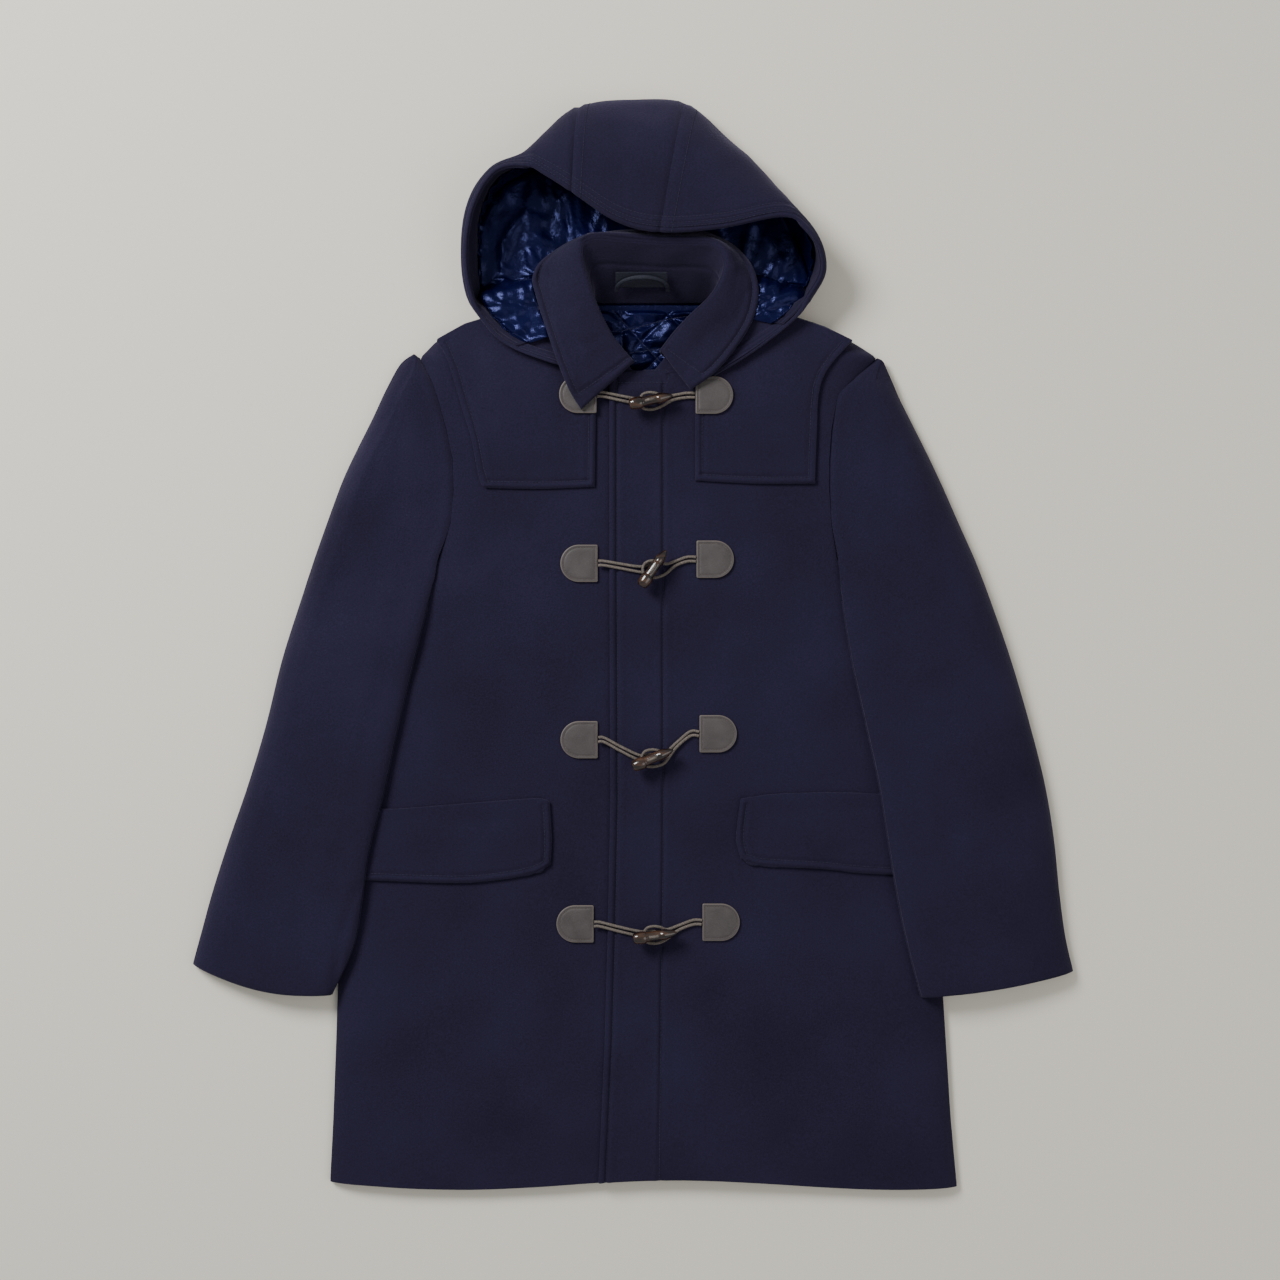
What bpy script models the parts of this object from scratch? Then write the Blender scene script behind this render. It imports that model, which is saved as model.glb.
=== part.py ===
# Duffle coat lying flat on its back, buttoned, with the hood spread above the collar.
# The back lies on the floor at z = 0. +Y points to the hood and +X to the wearer's left.
# Every table and size below is in millimetres; meshes are made in metres.

import math

import bmesh
import bpy
from mathutils import Matrix, Vector
from mathutils.bvhtree import BVHTree

MM = 0.001
GAP = 0.3

# Cloth and trim thickness
WOOL = 2.6
DOUBLE_WOOL = 3.6
SATIN = 1.0
QUILT = 2.4
LEATHER = 2.0

# Hem: a shallow wave, lowest under the middle of each front
HEM_LEVEL = -536.5
HEM_WAVE = 5.0
HEM_WAVE_LENGTH = 432.0
HEM_LOW_POINT = -170.0

# Body sections from the hem up to the armpits.
# y, side seam on the wearer's right, side seam on the wearer's left, height of the front
BODY_ROWS = (
    (-537, -302, 323, 13.0),
    (-475, -299, 317, 13.5),
    (-395, -296, 312, 14.0),
    (-300, -293, 306, 14.5),
    (-205, -290, 300, 15.0),
    (-110, -285, 293, 16.0),
    (-20, -277, 287, 17.0),
    (35, -270, 282, 18.0),
)

# Front armholes and shoulders from the armpit up: y, edge on each side, height of the front,
# and how high the panel's outer edge stands (a share of that height)
TOP_ROWS = (
    (47, -236, 246, 18.2, 0.55),
    (65, -211, 216, 18.4, 0.86),
    (85, -193, 203, 18.6, 0.93),
    (121, -181, 197, 19.0, 0.95),
    (153, -178, 195, 19.4, 0.95),
    (185, -179, 195, 20.0, 0.95),
    (214, -185, 197, 20.6, 0.95),
    (246, -194, 203, 21.2, 0.92),
    (264, -201, 219, 21.6, 0.80),
    (286, -212, 243, 22.0, 0.16),
)

# Armholes of the back, from the armpit up: x and y
BACK_ARMHOLE_RIGHT = ((-248, 62), (-226, 105), (-212, 165), (-208, 230))
BACK_ARMHOLE_LEFT = ((262, 62), (242, 105), (231, 165), (231, 230))

# Shoulder line, from the neck out: x and y on each side
SHOULDER_RIGHT = ((-50, 343), (-90, 338), (-130, 330), (-167, 319), (-196, 303), (-212, 287))
SHOULDER_LEFT = ((82, 343), (115, 338), (150, 329), (190, 316), (222, 300), (243, 287))

# Neckline of the fronts, from the front edge up to the shoulder: x and y
NECK_RIGHT = ((-1, 272), (-10, 283), (-21, 295), (-33, 310), (-42, 325), (-49, 338))
NECK_LEFT = ((22, 272), (31, 283), (40, 295), (54, 310), (70, 325), (82, 338))
FRONT_TOP = 272.0
BACK_NECK = 343.0
NECK_MIDDLE = 26.0
NECK_HALF_WIDTH = 76.0

# The wearer's left front laps over the right one
LAP_EDGE = ((-537, -34), (-400, -28), (-300, -25), (-155, -22), (85, -23), (272, -23))
UNDERLAP_EDGE = 28.0
LAP_FADE_FROM = 122.0
LAP_FADE_TO = 185.0
SIDE_ROLL = 30.0
SHOULDER_ROLL = 22.0
SHOULDER_FROM = 240.0
FOLD_RISE = 2.2


def shade(name, colour, roughness, metallic=0.0):
    """A Principled material of one colour."""
    material = bpy.data.materials.new(name)
    material.use_nodes = True
    shader = material.node_tree.nodes["Principled BSDF"]
    shader.inputs["Base Color"].default_value = (*colour, 1.0)
    shader.inputs["Roughness"].default_value = roughness
    shader.inputs["Metallic"].default_value = metallic
    material.diffuse_color = (*colour, 1.0)
    return material


def start_scene():
    """Empties the scene and makes one collection for the coat and one for cutters."""
    for thing in list(bpy.data.objects):
        bpy.data.objects.remove(thing, do_unlink=True)
    groups = []
    for name in ("duffle_coat", "cutters"):
        group = bpy.data.collections.new(name)
        bpy.context.scene.collection.children.link(group)
        groups.append(group)
    return groups


COAT, CUTTERS = start_scene()
WOOL_SHADE = shade("navy_wool", (0.016, 0.014, 0.038), 0.9)
SATIN_SHADE = shade("navy_satin", (0.006, 0.012, 0.06), 0.32)
LEATHER_SHADE = shade("grey_brown_leather", (0.085, 0.07, 0.062), 0.5)
CORD_SHADE = shade("grey_brown_cord", (0.13, 0.1, 0.085), 0.8)
HORN_SHADE = shade("dark_horn", (0.035, 0.018, 0.012), 0.22)
TAPE_SHADE = shade("dark_tape", (0.02, 0.02, 0.028), 0.7)


def along(points, count):
    """A smooth curve through the points, as count points evenly spread over their spans."""
    ends = [points[0]] + list(points) + [points[-1]]
    spans = len(points) - 1
    result = []
    for i in range(count):
        place = i / (count - 1) * spans
        k = min(int(place), spans - 1)
        t = place - k
        a, b, c, d = (Vector(p) for p in ends[k:k + 4])
        result.append(0.5 * ((2 * b) + (c - a) * t + (2 * a - 5 * b + 4 * c - d) * t * t
                             + (3 * b - a - 3 * c + d) * t * t * t))
    return result


def look_up(rows, key, value):
    """Straight-line reading of a table whose first column rises."""
    if value <= rows[0][0]:
        return rows[0][key]
    for low, high in zip(rows, rows[1:]):
        if value <= high[0]:
            share = (value - low[0]) / (high[0] - low[0])
            return low[key] + (high[key] - low[key]) * share
    return rows[-1][key]


def smooth(t):
    t = min(max(t, 0.0), 1.0)
    return t * t * (3 - 2 * t)


def rounded(t):
    """A quarter of an ellipse, rising from 0 at t = 0 to 1 at t = 1."""
    t = min(max(t, 0.0), 1.0)
    return math.sqrt(max(0.0, 1 - (1 - t) ** 2))


def distance_to(path, x, y):
    """Distance in plan from a point to a polyline."""
    best = 1e9
    spot = Vector((x, y))
    for a, b in zip(path, path[1:]):
        a = Vector(a)
        b = Vector(b)
        t = min(max((spot - a).dot(b - a) / (b - a).length_squared, 0.0), 1.0)
        best = min(best, (spot - a - (b - a) * t).length)
    return best


def crown(y):
    """Height of the front's middle above the floor."""
    return look_up(BODY_ROWS + TOP_ROWS, 3, y)


def hem_drop(x, y):
    """How far the hem's wave moves a point down, fading out above the hem."""
    wave = HEM_LEVEL - HEM_WAVE * math.cos(2 * math.pi * (x - HEM_LOW_POINT) / HEM_WAVE_LENGTH)
    return (wave - BODY_ROWS[0][0]) * smooth((-475 - y) / 62)


def lap_lift(x):
    """Extra height of the left front where it lies on the right front."""
    return (WOOL + GAP + 0.1) * (1 - smooth((x - LAP_FADE_FROM) / (LAP_FADE_TO - LAP_FADE_FROM)))


def new_object(name, vertices, faces, material):
    mesh = bpy.data.meshes.new(name)
    mesh.from_pydata([Vector(v) * MM for v in vertices], [], faces)
    mesh.materials.append(material)
    thing = bpy.data.objects.new(name, mesh)
    COAT.objects.link(thing)
    return thing


def sheet(name, grid, thickness, side, material, smooth_shaded=True):
    """A cloth wall on a grid of points: its thickness grows to the side of the normals given."""
    columns = len(grid[0])
    vertices = [point for row in grid for point in row]
    faces = []
    for i in range(len(grid) - 1):
        for j in range(columns - 1):
            k = i * columns + j
            faces.append((k, k + 1, k + columns + 1, k + columns))
    thing = new_object(name, vertices, faces, material)
    shape = bmesh.new()
    shape.from_mesh(thing.data)
    bmesh.ops.remove_doubles(shape, verts=shape.verts, dist=0.02 * MM)
    bmesh.ops.dissolve_degenerate(shape, edges=shape.edges, dist=0.02 * MM)
    bmesh.ops.triangulate(shape, faces=shape.faces)
    shape.to_mesh(thing.data)
    shape.free()
    wall = thing.modifiers.new("Thickness", "SOLIDIFY")
    wall.thickness = thickness * MM
    wall.offset = side
    if smooth_shaded:
        thing.data.shade_smooth()
    bpy.context.view_layer.update()
    return thing


def trees(things):
    """Search trees of the finished surfaces, in place."""
    bpy.context.view_layer.update()
    graph = bpy.context.evaluated_depsgraph_get()
    result = []
    for thing in things:
        finished = thing.evaluated_get(graph)
        mesh = finished.to_mesh()
        spots = [thing.matrix_world @ v.co for v in mesh.vertices]
        result.append(BVHTree.FromPolygons(spots, [tuple(p.vertices) for p in mesh.polygons]))
        finished.to_mesh_clear()
    return result


def top_of(carriers, x, y, reach=0.0, ground=0.0, ceiling=300.0):
    """Height of what lies at a place under the ceiling, the highest found within reach of it."""
    steps = (0.0,) if reach == 0 else (-reach, -reach / 2, 0.0, reach / 2, reach)
    best = ground
    for dx in steps:
        for dy in steps:
            start = Vector((x + dx, y + dy, ceiling)) * MM
            for tree in carriers:
                hit = tree.ray_cast(start, Vector((0, 0, -1)))[0]
                if hit is not None:
                    best = max(best, hit.z / MM)
    return best


def plate(name, outline, bottom, thickness, material):
    """A flat piece: a filled outline with straight sides."""
    curve = bpy.data.curves.new(name, "CURVE")
    curve.dimensions = "2D"
    curve.fill_mode = "BOTH"
    curve.extrude = thickness / 2 * MM
    spline = curve.splines.new("POLY")
    spline.points.add(len(outline) - 1)
    for point, (x, y) in zip(spline.points, outline):
        point.co = (x * MM, y * MM, 0, 1)
    spline.use_cyclic_u = True
    curve.materials.append(material)
    thing = bpy.data.objects.new(name, curve)
    thing.location.z = (bottom + thickness / 2) * MM
    COAT.objects.link(thing)
    bpy.context.view_layer.update()
    return thing


def make_back():
    """The back lies flat on the floor, cut to the same side, armhole and shoulder lines."""
    hem = [(x, BODY_ROWS[0][0] + hem_drop(x, BODY_ROWS[0][0])) for x in range(-302, 324, 25)]
    left = [(row[2], row[0]) for row in BODY_ROWS] + list(BACK_ARMHOLE_LEFT)
    left += reversed(SHOULDER_LEFT)
    right = list(SHOULDER_RIGHT) + list(reversed(BACK_ARMHOLE_RIGHT))
    right += [(row[1], row[0]) for row in reversed(BODY_ROWS)]
    outline = hem + left[1:] + right[:-1]
    return plate("back", outline, 0.0, WOOL, WOOL_SHADE)


def front_rows(side):
    """Outer and inner ends of each row of a front, with its edge height."""
    key = 1 if side < 0 else 2
    rows = [(row[0], row[key], 0.0) for row in BODY_ROWS]
    rows += [(row[0], row[key], row[4]) for row in TOP_ROWS]
    shoulder = SHOULDER_RIGHT if side < 0 else SHOULDER_LEFT
    for x, y in reversed(shoulder[1:-1]):
        rows.append((y, x, 0.0))
    return rows


def inner_end(side, y):
    """Front edge below the neck, then the neckline."""
    if y <= FRONT_TOP:
        return UNDERLAP_EDGE if side < 0 else look_up(LAP_EDGE, 1, y)
    neck = NECK_RIGHT if side < 0 else NECK_LEFT
    return look_up(tuple((b, a) for a, b in neck), 1, y)


def front_height(side, x, y, outer, edge_share):
    """Outer face of a front: a low crown that rolls over to the side seam and shoulder."""
    low = WOOL + GAP
    lowest = low + FOLD_RISE
    high = crown(y)
    edge = low + (high - low) * edge_share
    z = edge + (high - edge) * rounded(abs(x - outer) / SIDE_ROLL)
    if y > SHOULDER_FROM:
        shoulder = SHOULDER_RIGHT if side < 0 else SHOULDER_LEFT
        fall = rounded(distance_to(shoulder, x, y) / SHOULDER_ROLL)
        z = lowest + (z - lowest) * fall
    if side > 0:
        z += lap_lift(x)
    return max(z, lowest)


# Places across a front from its outer edge, then as shares of what is left; a row whose edge
# stands lower than the share given is a fold down to the back, and any other an armhole seam
ROLL_STEPS = (0.0, 4.0, 11.0, 21.0, 34.0)
FOLDED_BELOW = 0.2
SPREAD = (0.28, 0.55, 0.8, 1.0)


def make_front(name, side):
    """A front from hem to shoulder: each row runs from the outer edge to the front edge."""
    rows = front_rows(side)
    grid = []
    for y, outer, edge_share in rows:
        inner = inner_end(side, y)
        width = abs(inner - outer)
        steps = [min(step, width * 0.5 * (k + 1) / 6) for k, step in enumerate(ROLL_STEPS)]
        offsets = steps + [steps[-1] + (width - steps[-1]) * share for share in SPREAD]
        line = []
        for offset in offsets:
            x = outer - side * offset
            z = front_height(side, x, y, outer, edge_share)
            line.append((x, y + hem_drop(x, y), z))
        first = line[0]
        folded = edge_share < FOLDED_BELOW
        line.insert(0, (first[0], first[1], WOOL + GAP if folded else first[2] - 0.01))
        grid.append(line)
    thickness_side = -1.0 if side < 0 else 1.0
    return sheet(name, grid, WOOL, thickness_side, WOOL_SHADE)


def patch(bottom, top, left, right, across, up):
    """Points of a four-sided piece, blended from its four edges; rows run from bottom to top."""
    low = along(bottom, across)
    high = along(top, across)
    near = along(left, up)
    far = along(right, up)
    grid = []
    for i in range(up):
        v = i / (up - 1)
        row = []
        for j in range(across):
            u = j / (across - 1)
            corners = ((low[0] * (1 - u) + low[-1] * u) * (1 - v)
                       + (high[0] * (1 - u) + high[-1] * u) * v)
            row.append(low[j] * (1 - v) + high[j] * v + near[i] * (1 - u) + far[i] * u - corners)
        grid.append(row)
    return grid


def laid(name, plan, carriers, thickness, material, reach=5.0, flip=False):
    """A panel that lies on what is under it: its lower face is made from their surfaces."""
    below = trees(carriers)
    grid = [[(p[0], p[1], top_of(below, p[0], p[1], reach, -GAP) + GAP) for p in row]
            for row in plan]
    return sheet(name, grid, thickness, -1.0 if flip else 1.0, material)


YOKE_RIGHT = {
    "bottom": ((-146, 156), (-92, 155), (-38, 157)),
    "top": ((-194, 302), (-167, 317), (-130, 328), (-92, 336), (-55, 340)),
    "outer": ((-146, 156), (-152, 165), (-160, 205), (-170, 238), (-183, 282), (-194, 302)),
    "inner": ((-38, 157), (-37, 234), (-37, 300), (-45, 325), (-55, 340)),
}
YOKE_LEFT = {
    "bottom": ((180, 160), (120, 160), (62, 163)),
    "top": ((217, 302), (190, 314), (150, 327), (118, 335), (88, 340)),
    "outer": ((180, 160), (181, 190), (182, 213), (184, 250), (193, 274), (217, 302)),
    "inner": ((62, 163), (62, 234), (63, 298), (74, 322), (88, 340)),
}


def make_yoke(name, cut, front, side):
    """A yoke laid on the front, its top wrapped over the shoulder fold."""
    below = trees([front])
    plan = patch(cut["bottom"], cut["top"], cut["outer"], cut["inner"], 8, 8)
    grid = [[(p[0], p[1], top_of(below, p[0], p[1], 10.0) + GAP) for p in row] for row in plan]
    shoulder = SHOULDER_RIGHT if side < 0 else SHOULDER_LEFT
    shelf = []
    drop = []
    for x, y, z in grid[-1]:
        edge = look_up(tuple(sorted(shoulder)), 1, x) + 1.2
        shelf.append((x, edge, z - 0.5))
        drop.append((x, edge, 1.0))
    grid += [shelf, drop]
    return sheet(name, grid, WOOL, 1.0 if side < 0 else -1.0, WOOL_SHADE)


FLAP_RIGHT = {
    "bottom": ((-266, -233), (-178, -236), (-135, -233), (-97, -226), (-82, -217)),
    "top": ((-262, -161), (-238, -163), (-167, -158), (-97, -153), (-83, -156)),
    "outer": ((-266, -233), (-262, -161)),
    "inner": ((-82, -217), (-81, -190), (-83, -156)),
}
FLAP_LEFT = {
    "bottom": ((268, -228), (226, -226), (188, -222), (124, -218), (107, -211)),
    "top": ((262, -150), (243, -148), (167, -147), (125, -150), (107, -153)),
    "outer": ((268, -228), (262, -150)),
    "inner": ((107, -211), (103, -190), (107, -153)),
}


def make_flap(name, cut, front, side):
    plan = patch(cut["bottom"], cut["top"], cut["outer"], cut["inner"], 8, 5)
    return laid(name, plan, [front], DOUBLE_WOOL, WOOL_SHADE, 5.0, side > 0)


# outer x, outer y, inner x, inner y, height at the outer fold's top, rise over the body, cuff bow
SLEEVE_RIGHT = (
    (-219, 290, -212, 286, 12, 0, 0),
    (-232, 280, -201, 264, 18, 0, 0),
    (-246, 255, -194, 246, 21, 0, 0),
    (-260, 225, -185, 214, 23, 0, 0),
    (-275, 195, -179, 185, 24, 0, 0),
    (-289, 165, -178, 153, 25, 0, 0),
    (-301, 133, -181, 121, 25, 0, 0),
    (-318, 85, -193, 85, 25, 3, 0),
    (-324, 65, -196, 68, 25, 6, 0),
    (-331, 45, -201, 50, 25, 8, 0),
    (-350, -15, -217, -15, 24, 9, 0),
    (-366, -80, -234, -85, 23, 9, 0),
    (-384, -140, -248, -150, 22, 9, 1),
    (-403, -195, -262, -205, 21, 8, 3),
    (-419, -245, -269, -255, 20, 8, 6),
    (-430, -285, -278, -300, 19, 8, 9),
    (-439, -318, -299, -347, 18, 8, 10),
)
SLEEVE_LEFT = (
    (250, 282, 243, 286, 12, 0, 0),
    (258, 263, 219, 264, 18, 0, 0),
    (266, 245, 203, 246, 21, 0, 0),
    (281, 215, 197, 214, 23, 0, 0),
    (296, 185, 195, 185, 24, 0, 0),
    (310, 155, 195, 153, 25, 0, 0),
    (324, 123, 197, 121, 25, 0, 0),
    (341, 85, 203, 85, 25, 3, 0),
    (349, 64, 205, 66, 25, 6, 0),
    (357, 43, 207, 47, 25, 8, 0),
    (377, -15, 217, -15, 24, 9, 0),
    (396, -80, 231, -78, 23, 9, 0),
    (411, -140, 244, -138, 22, 9, 0),
    (420, -195, 253, -195, 21, 8, 0),
    (425, -245, 262, -248, 20, 8, 2),
    (431, -290, 272, -295, 19, 8, 3),
    (439, -325, 286, -349, 18, 8, 4),
)
SEAM_ROWS = 7
# Under sleeves above the armpit, from the shoulder down: outer x and y, inner x and y, and how
# far round each point the layers below are looked for
UNDER_TOP_RIGHT = (
    (-246, 255, -207, 250, 8),
    (-260, 225, -205, 222, 8), (-275, 195, -207, 190, 8), (-289, 165, -209, 162, 8),
    (-301, 133, -216, 132, 8), (-318, 85, -232, 88, 10), (-327, 58, -247, 61, 12),
    (-333, 38, -271, 39, 30), (-337, 26, -204, 34, 30),
)
UNDER_TOP_LEFT = (
    (258, 263, 238, 266, 8), (266, 245, 229, 248, 8),
    (281, 215, 228, 218, 8), (296, 185, 228, 188, 8), (310, 155, 229, 158, 8),
    (324, 123, 235, 125, 8), (341, 85, 247, 86, 10), (351, 60, 260, 62, 12),
    (358, 40, 283, 39, 30), (363, 26, 210, 34, 30),
)
BODY_REACH = 23.0
UNDER_ROWS = 14
UNDER_COLUMNS = 11


def make_sleeve_under(name, rows, top_rows, carriers, side):
    """The under sleeve: flat on the floor outside the body, and over the body's side."""
    below = trees(carriers)
    lower = [(row[0], row[1], row[2], row[3], row[6]) for row in rows[SEAM_ROWS + 2:]]
    lines = [(ox, oy, ix, iy, reach, 0.0) for ox, oy, ix, iy, reach in top_rows]
    lines += [(row[0], row[1], row[2], row[3], BODY_REACH, row[4])
              for row in along(lower, UNDER_ROWS)[1:]]
    grid = []
    for ox, oy, ix, iy, reach, bow in lines:
        row = []
        for k in range(UNDER_COLUMNS):
            u = k / (UNDER_COLUMNS - 1)
            x = ox + (ix - ox) * u
            y = oy + (iy - oy) * u - bow * math.sin(math.pi * u)
            rest = top_of(below, x, y, reach, -GAP)
            row.append((x, y, rest + GAP if rest < WOOL else rest + 2 * GAP))
        grid.append(row)
    return sheet(name, grid, WOOL, -1.0 if side < 0 else 1.0, WOOL_SHADE)


def make_sleeve_top(name, rows, carriers, side):
    """The top sleeve, from the outer fold over to the armhole seam or the inner fold."""
    below = trees(carriers)
    grid = []
    rows = list(rows[:SEAM_ROWS + 2]) + along(rows[SEAM_ROWS + 1:], 14)[1:]
    for k, (ox, oy, ix, iy, high, rise, bow) in enumerate(rows):
        outer = Vector((ox, oy))
        inner = Vector((ix + side * GAP * 1.4, iy))
        width = (inner - outer).length
        steps = [min(step, width * 0.4 * (i + 1) / 5) for i, step in enumerate((0, 6, 18))]
        ends = [min(step, width * 0.4 * (i + 1) / 5) for i, step in enumerate((0, 4, 14))]
        places = steps + [steps[-1] + (width - steps[-1] - ends[-1]) * s for s in (0.25, 0.5, 0.75)]
        places += [width - step for step in reversed(ends)]
        seam = k < SEAM_ROWS
        if seam:
            share = TOP_ROWS[len(TOP_ROWS) - 1 - k][4]
            inner_top = front_height(side, ix, iy, ix, share)
            low_inner = inner_top - 0.01
        else:
            low_inner = top_of(below, ix, iy, 20.0) + 2 * GAP
            inner_top = low_inner + rise
        line = []
        for place in places:
            u = place / width
            spot = outer + (inner - outer) * u
            bend = bow * math.sin(math.pi * u)
            level = high + (inner_top - high) * smooth(u)
            level += 2.0 * math.sin(math.pi * u) * min(1.0, width / 80)
            low = WOOL + GAP + 2.4
            z = low + (level - low) * rounded(place / 26)
            if not seam:
                floor = low_inner + WOOL * 0.9
                z = floor + (z - floor) * rounded((width - place) / 22)
            z = max(z, top_of(below[-1:], spot.x, spot.y - bend, 13.0, WOOL) + GAP + WOOL + 0.4)
            line.append((spot.x, spot.y - bend, z))
        low_outer = top_of(below[-1:], ox, oy, 4.0, WOOL) + GAP
        line.insert(0, (line[0][0], line[0][1], low_outer))
        line.append((line[-1][0], line[-1][1], low_inner))
        grid.append(line)
    return sheet(name, grid, WOOL, 1.0 if side < 0 else -1.0, WOOL_SHADE)


TAB_WIDTH = 37.0
TAB_HEIGHT = 37.0
# right tab flat x and y, left tab flat x and y, toggle x and y, toggle's turn in degrees
FASTENINGS = (
    (-36, 248, 62, 247, 17, 241, 12),
    (-35, 81, 63, 85, 20, 75, 55),
    (-35, -94, 66, -88, 19, -112, 23),
    (-39, -277, 69, -275, 21, -287, 8),
)
TOGGLE_LIFT = 14.2
# along the toggle, radius
TOGGLE_PROFILE = ((-21, 0), (-21, 4.4), (-19.3, 5.7), (-13, 6.4), (-8.5, 5.9), (-6, 5.1),
                  (6, 5.1), (9, 5.6), (14, 4.7), (19, 2.9), (22, 1.3), (22.6, 0))
HOLE_OFFSET = 4.0
HOLE_RADIUS = 1.95
CORD_RADIUS = 1.5
STRAND_LIFT = 1.9


def tab_outline(flat_x, y, side):
    """A D shape: straight towards the middle of the coat, round away from it."""
    radius = TAB_HEIGHT / 2
    centre = flat_x + side * (TAB_WIDTH - radius)
    points = [(flat_x, y - radius), (flat_x, y + radius)]
    for k in range(13):
        angle = math.pi / 2 - math.pi * k / 12
        points.append((centre + side * radius * math.cos(angle), y + radius * math.sin(angle)))
    return points if side > 0 else points[::-1]


def make_tab(name, flat_x, y, side, carriers):
    middle = flat_x + side * TAB_WIDTH / 2
    bottom = top_of(trees(carriers), middle, y, TAB_HEIGHT / 2) + GAP
    return plate(name, tab_outline(flat_x, y, side), bottom, LEATHER, LEATHER_SHADE)


def make_toggle(name, x, y, turn, carriers):
    """A turned horn toggle with two cross holes for its cord; gives the cloth height under it."""
    level = top_of(trees(carriers), x, y, 12.0)
    place = (Matrix.Translation(Vector((x, y, level + TOGGLE_LIFT)) * MM)
             @ Matrix.Rotation(math.radians(turn), 4, "Z"))
    mesh = bpy.data.meshes.new(name)
    points = [(a * MM, 0.0, r * MM) for a, r in TOGGLE_PROFILE]
    mesh.from_pydata(points, [(k, k + 1) for k in range(len(points) - 1)], [])
    mesh.materials.append(HORN_SHADE)
    thing = bpy.data.objects.new(name, mesh)
    COAT.objects.link(thing)
    turned = thing.modifiers.new("Turned", "SCREW")
    turned.axis = "X"
    turned.angle = 2 * math.pi
    turned.steps = 12
    turned.render_steps = 12
    turned.screw_offset = 0.0
    turned.use_merge_vertices = True
    turned.merge_threshold = 0.00001
    turned.use_normal_calculate = True
    for end in (-1, 1):
        bpy.ops.mesh.primitive_cylinder_add(vertices=8, radius=HOLE_RADIUS * MM, depth=0.03)
        cutter = bpy.context.active_object
        cutter.name = name + "_hole_" + ("a" if end < 0 else "b")
        for group in list(cutter.users_collection):
            group.objects.unlink(cutter)
        CUTTERS.objects.link(cutter)
        cutter.hide_render = True
        cutter.display_type = "WIRE"
        cutter.matrix_world = place
        cutter.location = place @ Vector((end * HOLE_OFFSET * MM, 0, 0))
        cut = thing.modifiers.new("Hole", "BOOLEAN")
        cut.operation = "DIFFERENCE"
        cut.solver = "EXACT"
        cut.object = cutter
    thing.matrix_world = place
    return level


def make_cord(name, points, count):
    """A round cord along a smooth curve through its route."""
    curve = bpy.data.curves.new(name, "CURVE")
    curve.dimensions = "3D"
    curve.bevel_depth = CORD_RADIUS * MM
    curve.bevel_resolution = 2
    curve.use_fill_caps = True
    spline = curve.splines.new("POLY")
    route = along(points, count)
    spline.points.add(len(route) - 1)
    for point, place in zip(spline.points, route):
        point.co = (*(place * MM), 1.0)
    curve.materials.append(CORD_SHADE)
    thing = bpy.data.objects.new(name, curve)
    COAT.objects.link(thing)
    return thing


def holding_cord(name, fastening, level):
    """From the right tab along the cloth, up one hole of the toggle, down the other and back."""
    tab_x, tab_y, _, _, x, y, turn = fastening
    ax = HOLE_OFFSET * math.cos(math.radians(turn))
    ay = HOLE_OFFSET * math.sin(math.radians(turn))
    low = level + STRAND_LIFT
    start = tab_x + GAP + 0.1
    middle = (start + x) / 2 - 4
    drift = (tab_y + y) / 2
    points = [
        (start, tab_y - 2.1, low), (start + 6, tab_y - 2.1, low),
        (middle, drift - 2.2, low),
        (x - 12, y - 1.9 - ay * 0.3, low),
        (x - ax - 1.2, y - ay - 0.2, level + 5.2),
        (x - ax, y - ay, level + 10), (x - ax, y - ay, level + 15),
        (x - ax, y - ay, level + 19.5), (x - ax * 0.62, y - ay * 0.62, level + 21.6),
        (x, y, level + 22.2),
        (x + ax * 0.62, y + ay * 0.62, level + 21.6), (x + ax, y + ay, level + 19.5),
        (x + ax, y + ay, level + 15), (x + ax, y + ay, level + 10),
        (x + ax - 0.6, y + ay + 0.6, level + 5.4),
        (x + ax - 5, y + max(ay, 1.2) + 2.4, low + 0.2),
        (x - 12, y + 2.6, low),
        (middle, drift + 2.2, low),
        (start + 6, tab_y + 2.1, low), (start, tab_y + 2.1, low),
    ]
    return make_cord(name, points, 38)


def loop_cord(name, fastening, level):
    """From the left tab round the toggle's foot, over the other cord's strands, and back."""
    _, _, tab_x, tab_y, x, y, turn = fastening
    low = level + STRAND_LIFT
    high = level + 5.7
    start = tab_x - GAP - 0.1
    far = start - 9
    drift = (tab_y + y) / 2
    points = [
        (start, tab_y + 2.1, low), (far, tab_y + 2.2, low),
        ((far + x) / 2 + 5, drift + 3.0, low + 0.6),
        (x + 13, y + 5.2, low + 1.6), (x + 6, y + 7.6, high),
        (x - 1, y + 8.4, high), (x - 7.5, y + 6.2, high), (x - 10.2, y, high),
        (x - 7.5, y - 6.6, high), (x - 1, y - 8.4, high), (x + 6, y - 7.4, high),
        (x + 13, y - 4.0, low + 1.6), ((far + x) / 2 + 5, drift - 1.6, low + 0.6),
        (far, tab_y - 2.2, low), (start, tab_y - 2.1, low),
    ]
    return make_cord(name, points, 29)


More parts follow.
